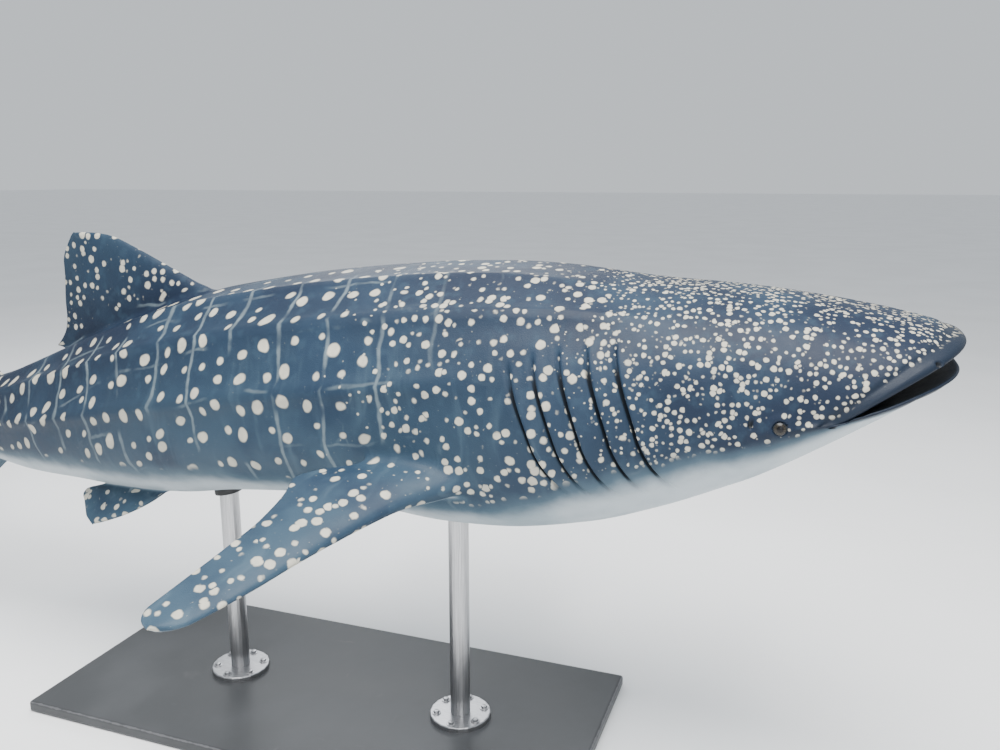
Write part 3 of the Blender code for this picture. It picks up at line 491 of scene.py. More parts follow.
@dataclass(frozen=True)
class Blade:
    """A fin grown out of the skin, with a wing's section."""

    name: str
    levels: int = 18
    fillet: float = 0.016
    root_search: Range = (-0.35, 0.50)
    rounding: float = 0.80
    thickness: Pairs = ()
    underside: Underside = Underside.DARK
    half_pale: float = 0.45
    pale_across: Range = (-0.60, -1.0)
    pale_margins: tuple[Range, Range] = ((0.0, 0.08), (1.0, 0.94))
    side: float = 1.0
    paired: bool = False
    wing_form: tuple[float, ...] = (1.4845, -0.63, -1.758, 1.4215, -0.518)
    edge_thickness: float = 0.007
    edge_rise: float = 6.0
    fullest_share: float = 0.35
    tip_chord: float = 0.09
    nose_share: float = 0.012
    heel_share: float = 0.985
    chord_spread: float = 1.25

    def edges(self, span: Array) -> tuple[Array, Array]:
        """Front and rear points of the fin at spans from its root (0) to its tip (1)."""
        raise NotImplementedError

    def across(self) -> Array:
        """Direction across the fin, towards its first face."""
        return np.array((0.0, 1.0, 0.0))

    def reach(self) -> float:
        """Length of the fin from root to tip, in parts of the body's length."""
        raise NotImplementedError

    def section(self, along: Array, aside: Array, span: Array, length: float) -> Array:
        """Give points of the fin.

        Args:
            along: Places from the leading (0) to the trailing edge (1).
            aside: Places from one face (-1) to the other (1).
            span: Places from the root to the tip.
            length: Total length of the animal, in metres.

        Returns:
            Rows of straight-frame points.
        """
        front, rear = self.edges(span)
        near_tip = np.clip((span - self.rounding) / (1.0 - self.rounding), 0.0, 1.0)
        kept = np.maximum(self.tip_chord, np.sqrt(1.0 - near_tip**2))[:, None]
        middle, half = 0.5 * (front + rear), 0.5 * (rear - front) * kept
        front, rear = middle - half, middle + half
        nose = self.nose_share * aside**2
        heel = self.heel_share + (1.0 - self.heel_share) * (1.0 - aside**2)
        share = nose + (heel - nose) * along**self.chord_spread
        inner = np.clip(share, self.nose_share, self.heel_share)
        powers = (np.sqrt(inner), inner, inner**2, inner**3, inner**4)
        form = sum(factor * power for factor, power in zip(self.wing_form, powers))
        width = np.linalg.norm(rear - front, axis=1)
        full = np.minimum(read_curve(self.thickness, span), self.fullest_share * width)
        edge = 0.5 * self.edge_thickness / length
        wall = np.maximum(full * form, edge * np.minimum(1.0, self.edge_rise * inner))
        return front + (rear - front) * share[:, None] + self.across() * (wall * aside)[:, None]

    def paleness(self, along: Array, aside: Array) -> Array:
        """Tell how pale the fin is.

        Args:
            along: Places from the leading (0) to the trailing edge (1).
            aside: Places from one face (-1) to the other (1).

        Returns:
            Paleness from 0 to 1.
        """
        if self.underside is not Underside.PALE_BELOW:
            even = self.half_pale if self.underside is Underside.HALF_PALE else 0.0
            return np.full(len(along), even)
        leading, trailing = self.pale_margins
        return ease(*self.pale_across, aside) * ease(*leading, along) * ease(*trailing, along)


@dataclass(frozen=True)
class RootedFin(Blade):
    """A fin on the mid-line or the flank; its edges run along a straight root."""

    origin: Triple = (0.0, 0.0, 0.0)
    along: Triple = (1.0, 0.0, 0.0)
    outward: Triple = (0.0, 0.0, 1.0)
    height: float = 0.1
    curl: float = 0.0
    leading: Pairs = ()
    trailing: Pairs = ()

    def across(self) -> Array:
        """Give the direction across the fin, square to its root and its height.

        Returns:
            The direction.
        """
        if not self.paired:
            return super().across()
        square = np.cross(self.along, self.outward)
        return square / np.linalg.norm(square)

    def edges(self, span: Array) -> tuple[Array, Array]:
        """Give the fin's edges.

        Args:
            span: Spans from the root (0) to the tip (1).

        Returns:
            Rows of points of the front edge, and of the rear edge.
        """
        along, outward = np.array(self.along), np.array(self.outward)
        base = np.array(self.origin) + outward * (span * self.height)[:, None]
        base = base - self.across() * (self.curl * np.maximum(span, 0.0) ** 2)[:, None]
        front = base + along * read_curve(self.leading, span)[:, None]
        return front, base + along * read_curve(self.trailing, span)[:, None]

    def section(self, along: Array, aside: Array, span: Array, length: float) -> Array:
        """Points of the fin, on the side of the body that it grows from."""
        return super().section(along, aside, span, length) * np.array((1.0, self.side, 1.0))

    def reach(self) -> float:
        """Length of the fin from root to tip, in parts of the body's length."""
        return self.height


@dataclass(frozen=True)
class TailLobe(Blade):
    """A lobe of the tail fin; its edges are curves of station and height."""

    fillet: float = 0.022
    rounding: float = 0.90
    thickness: Pairs = ((0.0, 0.0180), (0.15, 0.0150), (0.5, 0.0085), (1.0, 0.0035))
    leading_back: Pairs = ()
    leading_up: Pairs = ()
    trailing_back: Pairs = ()
    trailing_up: Pairs = ()

    def edges(self, span: Array) -> tuple[Array, Array]:
        """Give the lobe's edges.

        Args:
            span: Spans from the root (0) to the tip (1).

        Returns:
            Rows of points of the front edge, and of the rear edge.
        """
        curves = (self.leading_back, self.leading_up), (self.trailing_back, self.trailing_up)
        return tuple(
            np.column_stack((read_curve(back, span), np.zeros(len(span)), read_curve(up, span)))
            for back, up in curves
        )

    def reach(self) -> float:
        """Length of the lobe from root to tip, in parts of the body's length."""
        back = self.leading_back[-1][1] - self.leading_back[0][1]
        return math.hypot(back, self.leading_up[-1][1])


def leaning(slope: float, below: bool = False) -> dict[str, Triple]:
    """Give the directions of a fin on the mid-line.

    Args:
        slope: Slope of its root, in degrees.
        below: Whether it stands below the body.

    Returns:
        Its directions along the root and outward.
    """
    lean = math.radians(slope)
    sign = -1.0 if below else 1.0
    return {
        "along": (math.cos(lean), 0.0, math.sin(lean)),
        "outward": (-sign * math.sin(lean), 0.0, sign * math.cos(lean)),
    }


def drooping(pitch: float, droop: float) -> dict[str, Triple]:
    """Give the directions of a left fin.

    Args:
        pitch: Rise of its root to the rear, in degrees.
        droop: Fall towards its tip, in degrees.

    Returns:
        Its directions along the root and outward.
    """
    rise, fall = math.radians(pitch), math.radians(droop)
    return {
        "along": (math.cos(rise), 0.0, math.sin(rise)),
        "outward": (0.0, math.cos(fall), -math.sin(fall)),
    }


def fins() -> list[Blade]:
    """List the fins and tail lobes with their sizes.

    Returns:
        The fins, in the order in which they are set into the skin.
    """
    made: list[Blade] = [
        RootedFin(
            "dorsal_fin_first", levels=34, fillet=0.034, root_search=(-0.30, 0.40),
            thickness=((-0.4, 0.0150), (0.0, 0.0150), (0.5, 0.0090), (1.0, 0.0035)),
            origin=(0.440, 0.0, 0.0690), height=0.0740, **leaning(-12.0),
            leading=(
                (-0.4, -0.010), (0.0, -0.004), (0.15, 0.0080), (0.35, 0.0235), (0.60, 0.0430),
                (0.80, 0.0600), (0.92, 0.0730), (1.0, 0.0860),
            ),
            trailing=(
                (-0.4, 0.100), (0.0, 0.110), (0.02, 0.1330), (0.05, 0.1490), (0.085, 0.1505),
                (0.13, 0.1440), (0.20, 0.1360), (0.30, 0.1305), (0.45, 0.1260), (0.68, 0.1175),
                (0.88, 0.1110), (1.0, 0.1040),
            ),
        ),
        RootedFin(
            "dorsal_fin_second",
            thickness=((-0.4, 0.0070), (0.0, 0.0070), (0.5, 0.0045), (1.0, 0.0025)),
            origin=(0.655, 0.0, 0.0240), height=0.0330, **leaning(-6.0),
            leading=((-0.4, -0.004), (0.0, 0.0), (0.4, 0.0130), (0.8, 0.0290), (1.0, 0.0390)),
            trailing=(
                (-0.4, 0.040), (0.0, 0.044), (0.10, 0.0600), (0.20, 0.0600), (0.45, 0.0490),
                (0.75, 0.0455), (1.0, 0.0440),
            ),
        ),
        RootedFin(
            "anal_fin", fillet=0.014, underside=Underside.HALF_PALE,
            thickness=((-0.4, 0.0065), (0.0, 0.0065), (0.5, 0.0042), (1.0, 0.0025)),
            origin=(0.668, 0.0, -0.0370), height=0.0290, **leaning(10.0, below=True),
            leading=((-0.4, -0.004), (0.0, 0.0), (0.4, 0.0130), (0.8, 0.0280), (1.0, 0.0370)),
            trailing=(
                (-0.4, 0.034), (0.0, 0.038), (0.10, 0.0520), (0.20, 0.0530), (0.45, 0.0440),
                (0.75, 0.0420), (1.0, 0.0410),
            ),
        ),
        TailLobe(
            "caudal_fin_upper", levels=66, root_search=(0.0, 0.45),
            leading_back=((0.0, 0.770), (0.10, 0.790), (0.3, 0.830), (0.6, 0.885), (1.0, 0.956)),
            leading_up=((0.0, 0.000), (0.10, 0.019), (0.3, 0.064), (0.6, 0.129), (1.0, 0.208)),
            trailing_back=(
                (0.0, 0.868), (0.10, 0.873), (0.3, 0.892), (0.6, 0.925), (0.85, 0.954),
                (1.0, 0.969),
            ),
            trailing_up=(
                (0.0, 0.022), (0.10, 0.040), (0.3, 0.075), (0.6, 0.126), (0.85, 0.170),
                (1.0, 0.196),
            ),
        ),
        TailLobe(
            "caudal_fin_lower", levels=44, fillet=0.020, root_search=(0.0, 0.50),
            leading_back=((0.0, 0.770), (0.12, 0.786), (0.3, 0.805), (0.6, 0.832), (1.0, 0.862)),
            leading_up=((0.0, 0.000), (0.12, -0.019), (0.3, -0.044), (0.6, -0.087), (1.0, -0.136)),
            trailing_back=(
                (0.0, 0.868), (0.12, 0.864), (0.3, 0.864), (0.6, 0.868), (0.85, 0.874),
                (1.0, 0.877),
            ),
            trailing_up=(
                (0.0, 0.022), (0.12, 0.002), (0.3, -0.027), (0.6, -0.076), (0.85, -0.113),
                (1.0, -0.134),
            ),
        ),
    ]
    for word, side in BOTH_SIDES:
        pair = {"underside": Underside.PALE_BELOW, "side": side, "paired": True}
        made.append(RootedFin(
            f"pectoral_fin_{word}", levels=52, fillet=0.040, root_search=(-0.20, 0.35),
            rounding=0.93, origin=(0.228, 0.068, -0.045), height=0.1500, curl=0.004,
            **drooping(20.0, 20.0), **pair,
            thickness=((-0.3, 0.0180), (0.0, 0.0165), (0.3, 0.0110), (0.7, 0.0060), (1.0, 0.0035)),
            leading=(
                (-0.3, 0.010), (0.0, 0.012), (0.10, 0.0220), (0.235, 0.0410), (0.355, 0.0530),
                (0.49, 0.0650), (0.61, 0.0750), (0.74, 0.0850), (0.90, 0.0990), (1.0, 0.1090),
            ),
            trailing=(
                (-0.3, 0.062), (0.0, 0.065), (0.13, 0.0790), (0.215, 0.0950), (0.29, 0.1030),
                (0.36, 0.1020), (0.49, 0.1040), (0.66, 0.1110), (0.80, 0.1178), (0.93, 0.1243),
                (1.0, 0.1280),
            ),
        ))
        made.append(RootedFin(
            f"pelvic_fin_{word}", levels=16, root_search=(-0.55, 0.80), rounding=0.78,
            origin=(0.485, 0.022, -0.052), height=0.0310, **drooping(0.0, 45.0), **pair,
            thickness=((-0.6, 0.0080), (0.0, 0.0075), (0.5, 0.0050), (1.0, 0.0030)),
            leading=(
                (-0.6, -0.012), (0.0, -0.006), (0.4, 0.0060), (0.67, 0.0200), (0.9, 0.0380),
                (1.0, 0.0480),
            ),
            trailing=(
                (-0.6, 0.046), (0.0, 0.054), (0.13, 0.0730), (0.25, 0.0745), (0.45, 0.0700),
                (0.8, 0.0620), (1.0, 0.0570),
            ),
        ))
    return made


@dataclass(frozen=True)
class Opening:
    """A round or oval opening or swelling of the head, by its profile from the middle out."""

    along: float
    angle: float
    # Distance on the plain skin, distance from the middle, and height, in metres
    profile: tuple[Triple, ...]
    stretch: float = 1.0
    shift: float = 0.0
    cuts: int = 2
    # Depth at which the inside of an opening is fully painted as shade
    full_shade_depth: float = -0.006
    least_radius: float = 1e-6

    def reach(self) -> float:
        """Radius of the skin that the opening changes."""
        return self.profile[-1][0] * max(self.stretch, 1.0)

    def frame_on(self, form: Form, side: float) -> Matrix:
        """Find the opening's middle on one side of the head.

        Args:
            form: Form of the head.
            side: 1 for the left side, -1 for the right.

        Returns:
            Its place and turn, with Z outwards and X to the rear.
        """
        angle = side * self.angle
        runs = self.along + form.step * np.array((0.0, 1.0, -1.0, 0.0))
        angles = np.array((angle, angle, angle, angle + side))
        here, rear, front, down = form.place(form.head(runs, angles))
        rear, down = Vector(rear - front).normalized(), Vector(down - here)
        outward = (down.cross(rear) if side > 0 else rear.cross(down)).normalized()
        matrix = Matrix((rear, outward.cross(rear), outward)).transposed().to_4x4()
        matrix.translation = Vector(here) + rear * self.shift
        return matrix

    def shape(self, points: Array, matrix: Matrix) -> tuple[Array, Array]:
        """Sink or raise the skin round the opening.

        Args:
            points: World points of the skin.
            matrix: Place of the opening.

        Returns:
            The new points, and how deep each lies inside the opening.
        """
        turn, middle = np.array(matrix.to_3x3()), np.array(matrix.translation)
        across, aside, up = ((points - middle) @ turn).T
        near = np.hypot(across / self.stretch, aside)
        inside = (near < self.profile[-1][0]) & (np.abs(up) < self.reach())
        profile = np.array(self.profile)
        height = read_curve(profile[:, [0, 2]], near)
        off_middle = near > self.least_radius
        scale = np.where(
            off_middle, read_curve(profile[:, [0, 1]], near) / np.where(off_middle, near, 1.0), 1.0
        )
        made = np.column_stack((across * scale, aside * scale, up + height)) @ turn.T + middle
        deep = np.where(inside, ease(0.0, self.full_shade_depth, height), 0.0)
        return np.where(inside[:, None], made, points), deep


@dataclass
class Root:
    """Block of the skin's faces that a fin grows from, and what grows from it."""

    fin: Blade
    first: int
    last: int
    column: int
    half: int
    sign: float
    centre: float
    faces: list[Any] = field(default_factory=list)
    verts: list[Any] = field(default_factory=list)
    levels: list[Range] = field(default_factory=list)
    start: dict[Range, tuple[Any, ...]] = field(default_factory=dict)


@dataclass
class Skin:
    """One closed skin over head, jaw, body and fins."""

    form: Form = Form()
    gills: Gills = Gills()
    half_columns: int = 64
    column_anchors: tuple[int, ...] = (0, 10, 18, 26, 34, 64)
    mouth_rows: int = 14
    mouth_spread: float = 0.8
    head_rows: int = 56
    head_spread: float = 1.35
    cheek_rows: int = 15
    shoulder_rows: int = 7
    shoulder_station: float = 0.228
    trunk_rows: int = 124
    trunk_end: float = 0.63
    stem_rows: int = 92
    probes: int = 41
    probe_share: float = 0.3
    root_rounds: int = 30
    tail_margin: float = 0.0016
    relax_window: int = 9
    relax_rounds: int = 80
    fillet_steps: int = 6
    tip_steps: int = 7
    tip_bulge: float = 0.004
    tip_look: float = 0.01
    place_digits: int = 4
    fine_margin: float = 0.012
    fine_edge: float = 0.007
    end_margin: float = 1e-6
    seam_angle: float = 179.999
    seam_gap: float = 1e-5
    least_edge: float = 1e-7
    # Angle where the dark back begins to fade into the pale belly, along the body. It follows the
    # line where light from above turns into shade on the flank, and the plain band that the fade
    # begins with is partly painted shade
    pale_from: Pairs = (
        (0.0, 96.0), (0.09, 96.0), (0.12, 94.0), (0.15, 95.0), (0.18, 99.0), (0.21, 106.0),
        (0.24, 112.0), (0.345, 111.0), (0.415, 107.0), (0.505, 106.0), (0.56, 105.0),
        (0.65, 109.0), (0.75, 118.0), (0.868, 135.0),
    )
    pale_fade: Range = (-8.0, 34.0)
    # Metres from the lips within which the jaw stays out of the pale belly, as painted shade along
    # the lips
    jaw_shade_rim: Range = (0.05, 0.15)
    # Share by which the plain band of painted shade along the lips is wider on the lower jaw
    jaw_shade_band: float = 0.7
    jaw_angles: Range = (90.0, 96.0)
    # Rounded lips with a groove behind them: metres from the lips' edge, width and height
    lip_folds: tuple[Triple, ...] = ((0.016, 0.013, 0.0045), (0.050, 0.011, -0.0050))
    # Runs over which the inside of the mouth turns to painted shade
    inside_shade_from: Range = (-0.985, -1.02)
    eye_profile: tuple[Triple, ...] = (
        (0.0, 0.0, -0.053), (0.003, 0.012, -0.049), (0.007, 0.027, -0.037),
        (0.011, 0.0318, -0.021), (0.015, 0.027, -0.008), (0.019, 0.0225, -0.001),
        (0.022, 0.0216, 0.0024), (0.025, 0.0235, 0.0044), (0.029, 0.027, 0.0058),
        (0.034, 0.032, 0.0060), (0.040, 0.0385, 0.0045), (0.048, 0.047, 0.0015),
        (0.060, 0.060, 0.0),
    )
    spiracle_profile: tuple[Triple, ...] = (
        (0.0, 0.0, -0.016), (0.003, 0.005, -0.014), (0.007, 0.0085, -0.006),
        (0.010, 0.0100, -0.0005), (0.014, 0.0135, 0.0016), (0.022, 0.022, 0.0),
    )
    nostril_profile: tuple[Triple, ...] = (
        (0.0, 0.0, -0.018), (0.003, 0.0045, -0.014), (0.006, 0.0070, -0.005),
        (0.009, 0.0085, 0.0), (0.013, 0.0125, 0.0015), (0.020, 0.020, 0.0),
    )
    barbel_profile: tuple[Triple, ...] = (
        (0.0, 0.0, 0.014), (0.004, 0.005, 0.0132), (0.009, 0.0095, 0.0090),
        (0.013, 0.0125, 0.0040), (0.020, 0.020, 0.0),
    )

    def openings(self) -> list[Opening]:
        """List the openings of one side.

        Returns:
            Eye socket, spiracle, nostril and barbel.
        """
        return [
            Opening(0.61, 91.5, self.eye_profile, cuts=3),
            Opening(0.80, 90.0, self.spiracle_profile, stretch=0.8, cuts=3),
            Opening(0.12, 45.0, self.nostril_profile, stretch=1.5),
            Opening(0.12, 45.0, self.barbel_profile, stretch=1.1, shift=-0.024),
        ]

    def placed_openings(self) -> list[tuple[Opening, Matrix, float]]:
        """Give the openings of both sides.

        Returns:
            Each opening with its place, and the sign of its side.
        """
        return [
            (opening, opening.frame_on(self.form, side), side)
            for opening in self.openings() for _, side in BOTH_SIDES
        ]

    def column_angles(self, station: float) -> Array:
        """Give the angles of the columns at a station.

        Args:
            station: The station.

        Returns:
            Angles from the belly up the right side and down the left.
        """
        steps = np.arange(self.half_columns + 1)
        left = np.interp(steps, self.column_anchors, self.form.ring_anchors(station))
        return np.concatenate((-left[::-1], left[1:]))

    def rows(self) -> tuple[Array, Array, Array]:
        """Work out the runs, lifts and depths of the grid's rows.

        Returns:
            Runs, lifts in metres and depths inside a slit, as rows by columns.
        """
        ring, length, gills = self.form.head_ring, self.form.length, self.gills
        flat = np.ones(2 * self.half_columns + 1)
        made: list[tuple[Array, Array, Array]] = []

        def add(run: Any, lift: Any = 0.0, depth: Any = 0.0) -> None:
            """Add a row."""
            made.append((flat * run, flat * lift, flat * depth))

        def between(first: Any, last: Any, shares: Array) -> None:
            """Add rows at shares of the way from one line of stations to another."""
            for share in shares:
                add(first + (last - first) * share - ring)

        def steps(count: int) -> Array:
            """Shares at even steps, the last of them 1."""
            return np.linspace(0.0, 1.0, count + 1)[1:]

        for share in np.linspace(0.0, 1.0, self.mouth_rows + 1) ** self.mouth_spread:
            add(share - 2.0)
        for share in steps(self.head_rows) ** self.head_spread:
            add(share - 1.0)
        for slit, station in enumerate(gills.stations):
            angles = self.column_angles(station)
            line, opening = gills.line(slit, angles), gills.opening(slit, angles)
            before = line - (gills.ahead + gills.behind) / length
            if slit:
                before = gills.line(slit - 1, angles)
            room = (line - before) * length - gills.behind
            if not slit:
                between(flat * ring, line - room / length, steps(self.cheek_rows)[:-1])
            for step, (shift, lift, depth) in enumerate(gills.fold):
                even = -room + (room + gills.behind) * step / len(gills.fold)
                folded = shift * np.where(shift < 0, room / gills.ahead, 1.0)
                across = even + (folded - even) * opening**gills.gather_power
                # Depth inside the slit, which the hide paints as shade
                dark = depth * ease(*gills.shade_from, opening)
                add(line + across / length - ring, lift * opening, dark)
        end = line + gills.behind / length
        add(end - ring)
        between(end, self.shoulder_station, steps(self.shoulder_rows))
        self.first_straight = len(made) - 1
        between(self.shoulder_station, self.trunk_end, steps(self.trunk_rows))
        between(self.trunk_end, self.form.tail_end, steps(self.stem_rows))
        runs, lifts, depths = (np.array(part) for part in zip(*made))
        return runs, lifts, depths

    def plan_root(self, fin: Blade) -> Root:
        """Choose the block of faces that a fin grows from.

        Args:
            fin: The fin.

        Returns:
            The block.
        """
        straight = self.runs[self.first_straight:, 0] + self.form.head_ring
        edge = np.linspace(0.0, 1.0, self.probes)
        points, _ = self.root_points(
            fin, np.concatenate((edge, edge)), np.repeat((-1.0, 1.0), self.probes)
        )
        _, angles = self.form.depth_at(points)
        turns = np.radians(angles)
        centre = math.degrees(math.atan2(np.mean(np.sin(turns)), np.mean(np.cos(turns))))
        margin = fin.fillet / self.form.length
        ends = (points[:, 0].min() - margin, points[:, 0].max() + margin)
        first, last = (
            self.first_straight + int(np.argmin(np.abs(straight - end))) for end in ends
        )
        last = min(last, len(self.runs) - 3)
        nominal = self.angles[(first + last) // 2, :-1]
        column = int(np.argmin(np.abs(half_circle(nominal - centre))))
        here = int(np.argmin(np.abs(edge - self.probe_share)))
        rise = half_circle(angles[here + self.probes] - angles[here])
        step = abs(half_circle(nominal[(column + 1) % len(nominal)] - nominal[column]))
        degree = self.form.degree(points[here, 0], centre)[0] * self.form.length
        half = max(2, int(round((0.5 * abs(rise) + fin.fillet / degree) / step)))
        return Root(fin, first, last, column, half, 1.0 if rise > 0 else -1.0, centre)

    def root_points(self, fin: Blade, along: Array, aside: Array) -> tuple[Array, Array]:
        """Find where a fin comes out of the skin.

        Args:
            fin: The fin.
            along: Places along its chord.
            aside: Places across it.

        Returns:
            Straight-frame points on the skin, and their spans.
        """
        low, high = (np.full(len(along), end) for end in fin.root_search)
        for _ in range(self.root_rounds):
            span = 0.5 * (low + high)
            share, _ = self.form.depth_at(fin.section(along, aside, span, self.form.length))
            low, high = np.where(share < 1.0, span, low), np.where(share < 1.0, high, span)
        return fin.section(along, aside, high, self.form.length), high

    def set_root(self, fin: Blade) -> None:
        """Move the grid's lines to the foot of a fin, and ease the lines round it.

        Args:
            fin: The fin.
        """
        root = self.plan_root(fin)
        rows, columns = root.last - root.first, 2 * root.half
        loop = [(i, 0) for i in range(rows)] + [(rows, j) for j in range(columns)]
        loop += [(i, columns) for i in range(rows, 0, -1)]
        loop += [(0, j) for j in range(columns, 0, -1)]
        down, over = np.array(loop).T
        points, _ = self.root_points(fin, down / rows, root.sign * (over / root.half - 1.0))
        _, angles = self.form.depth_at(points)
        angles = root.centre + half_circle(angles - root.centre)
        length = self.form.length
        degree = self.form.degree(points[:, 0], angles) * length
        flat = np.column_stack((points[:, 0] * length, (angles - root.centre) * degree))
        after = np.roll(flat, -1, axis=0)
        forward = after - np.roll(flat, 1, axis=0)
        normal = unit(np.column_stack((forward[:, 1], -forward[:, 0])))
        area = np.sum(flat[:, 0] * after[:, 1] - after[:, 0] * flat[:, 1])
        foot = flat + normal * fin.fillet * (1.0 if area > 0 else -1.0)
        stations = np.minimum(foot[:, 0] / length, self.form.tail_end - self.tail_margin)
        foot_angles = root.centre + foot[:, 1] / degree
        fixed = np.zeros(self.shift_run.shape, bool)
        for (i, j), station, angle in zip(loop, stations, foot_angles):
            place = root.first + i, (root.column - root.half + j) % fixed.shape[1]
            fixed[place] = True
            self.shift_run[place] = station - self.form.head_ring - self.runs[place]
            self.shift_angle[place] = half_circle(angle - self.angles[place])
        self.relax(fixed, root)
        self.roots.append(root)

    def relax(self, fixed: Array, root: Root) -> None:
        """Spread the shifts of a block's edge evenly over the lines near it.

        Args:
            fixed: Which crossings keep their shift.
            root: The block.
        """
        first = max(root.first - self.relax_window, self.first_straight)
        last = min(root.last + self.relax_window, len(self.runs) - 2)
        reach = root.half + self.relax_window
        window = np.arange(root.column - reach, root.column + reach + 1) % fixed.shape[1]
        near = np.ix_(np.arange(first, last + 1), window)
        for shifts in (self.shift_run, self.shift_angle):
            patch, held = shifts[near], (fixed | self.held)[near]
            held[0], held[-1], held[:, 0], held[:, -1] = True, True, True, True
            for _ in range(self.relax_rounds):
                mean = 0.25 * (
                    np.roll(patch, 1, 0) + np.roll(patch, -1, 0)
                    + np.roll(patch, 1, 1) + np.roll(patch, -1, 1)
                )
                patch = np.where(held, patch, mean)
            shifts[near] = patch
        self.held |= fixed

    def build(self) -> bmesh.types.BMesh:
        """Build the skin's mesh.

        Returns:
            The closed mesh, with the pattern's places and masks as attributes.
        """
        self.runs, lifts, depths = self.rows()
        stations = self.runs[:, 0] + self.form.head_ring
        stations = np.clip(stations, self.form.head_ring, self.form.tail_end)
        self.angles = np.array([self.column_angles(station) for station in stations])
        self.shift_run = np.zeros((len(self.runs), 2 * self.half_columns))
        self.shift_angle = np.zeros_like(self.shift_run)
        self.held = np.zeros(self.shift_run.shape, bool)
        self.roots: list[Root] = []
        for fin in fins():
            self.set_root(fin)
        around = np.arange(2 * self.half_columns + 1) % (2 * self.half_columns)
        runs = self.runs + self.shift_run[:, around]
        angles = self.angles + self.shift_angle[:, around]
        bm = self.grid(runs, angles, lifts, depths)
        self.refine(bm)
        self.settle(bm)
        self.weld(bm)
        self.grow(bm)
        bmesh.ops.recalc_face_normals(bm, faces=bm.faces)
        whole = ("row", "column", "fin")
        for layers, names in (
            (bm.verts.layers.float, ("run", "angle", "lift", "fin_along", "fin_aside")),
            (bm.verts.layers.int, whole), (bm.faces.layers.int, whole),
        ):
            for name in names:
                layers.remove(layers[name])
        return bm

    def grid(self, runs: Array, angles: Array, lifts: Array, depths: Array) -> bmesh.types.BMesh:
        """Lay the open grid out with its layers.

        Args:
            runs: Run of each crossing.
            angles: Angle of each crossing.
            lifts: Lift of each crossing, in metres.
            depths: Depth of each crossing inside a slit.

        Returns:
            The flat grid, each vertex with its run, angle and lift.
        """
        rows, columns = runs.shape
        bm = bmesh.new()
        bmesh.ops.create_grid(bm, x_segments=columns - 1, y_segments=rows - 1, size=1.0)
        form, turns = self.form, angles.ravel()
        flat, lips = (
            made.reshape(rows, columns, 3) * form.length
            for made in (form.skin(runs.ravel(), turns), form.lips(turns))
        )
        steps = np.linalg.norm(np.diff(flat, axis=1), axis=2)
        walked = np.concatenate((np.zeros((rows, 1)), np.cumsum(steps, axis=1)), axis=1)
        girth = walked - walked[:, [self.half_columns]]
        from_lips = np.where(runs > 0, 1.0, np.linalg.norm(flat - lips, axis=2))
        below = np.abs(angles) - read_curve(self.pale_from, flat[:, :, 0] / self.form.length)
        numbers = {
            "run": runs, "angle": angles, "lift": lifts, "skin_lips": from_lips,
            # Depth inside the mouth or a slit, which the hide paints as shade
            "skin_inner_shade": np.maximum(depths, ease(*self.inside_shade_from, runs)),
            "skin_pale": ease(*self.pale_fade, below) * ease(*self.jaw_shade_rim, from_lips),
        }
        layers = {name: bm.verts.layers.float.new(name) for name in numbers}
        place_of = bm.verts.layers.float_vector.new("skin_place")
        row_of, column_of = (bm.verts.layers.int.new(name) for name in ("row", "column"))
        for index, vert in enumerate(bm.verts):
            i, j = divmod(index, columns)
            for name, layer in layers.items():
                vert[layer] = numbers[name][i, j]
            vert[place_of] = (flat[i, j, 0], girth[i, j], 0.0)
            vert[row_of], vert[column_of] = i, j % (columns - 1)
        row_of, column_of = (bm.faces.layers.int.new(name) for name in ("row", "column"))
        for index, face in enumerate(bm.faces):
            face[row_of], face[column_of] = divmod(index, columns - 1)
            face.smooth = True
        return bm

    def refine(self, bm: bmesh.types.BMesh) -> None:
        """Cut the skin finer round the eyes, spiracles and nostrils.

        Args:
            bm: The grid.
        """
        run, angle = bm.verts.layers.float["run"], bm.verts.layers.float["angle"]
        for opening, matrix, side in self.placed_openings():
            near = [
                vert for vert in bm.verts if -1.0 <= vert[run] <= 0.0 and vert[angle] * side > 0
            ]
            points = self.form.place(self.form.skin(values(near, run), values(near, angle)))
            away = np.linalg.norm(points - np.array(matrix.translation), axis=1)
            reach = opening.reach() + self.fine_margin
            chosen = {vert for vert, gap in zip(near, away) if gap < reach}
            faces = [face for face in bm.faces if all(vert in chosen for vert in face.verts)]
            edges = list(dict.fromkeys(edge for face in faces for edge in face.edges))
            ends = [vert for edge in edges for vert in edge.verts]
            flat = self.form.skin(values(ends, run), values(ends, angle))
            long = np.linalg.norm(flat[0::2] - flat[1::2], axis=1) * self.form.length
            bmesh.ops.subdivide_edges(
                bm, edges=[edge for edge, size in zip(edges, long) if size > self.fine_edge],
                cuts=opening.cuts, use_grid_fill=True,
            )

    def settle(self, bm: bmesh.types.BMesh) -> None:
        """Move every vertex to its place on the skin, with ridges, gill folds and openings.

        Args:
            bm: The grid.
        """
        layers, verts = bm.verts.layers.float, list(bm.verts)
        inner_shade_of, lips_of = layers["skin_inner_shade"], layers["skin_lips"]
        runs, angles, lifts, inner, from_lips = (
            values(verts, layers[name])
            for name in ("run", "angle", "lift", "skin_inner_shade", "skin_lips")
        )
        for gap, width, height in self.lip_folds:
            lifts = lifts + height * np.exp(-(((from_lips - gap) / width) ** 2)) * (runs >= -1.0)
        raised = self.form.ridge_lift(runs, angles) + lifts / self.form.length
        flat = self.form.skin(runs, angles)
        points = self.form.place(flat + self.form.outward(runs, angles) * raised[:, None])
        for opening, matrix, _ in self.placed_openings():
            points, deep = opening.shape(points, matrix)
            inner = np.maximum(inner, deep)
        # Widen the painted shade along the lips on the lower jaw
        from_lips = from_lips * (1.0 - self.jaw_shade_band * ease(*self.jaw_angles, np.abs(angles)))
        for vert, point, depth, gap in zip(verts, points, inner, from_lips):
            vert.co = point
            vert[inner_shade_of], vert[lips_of] = depth, gap

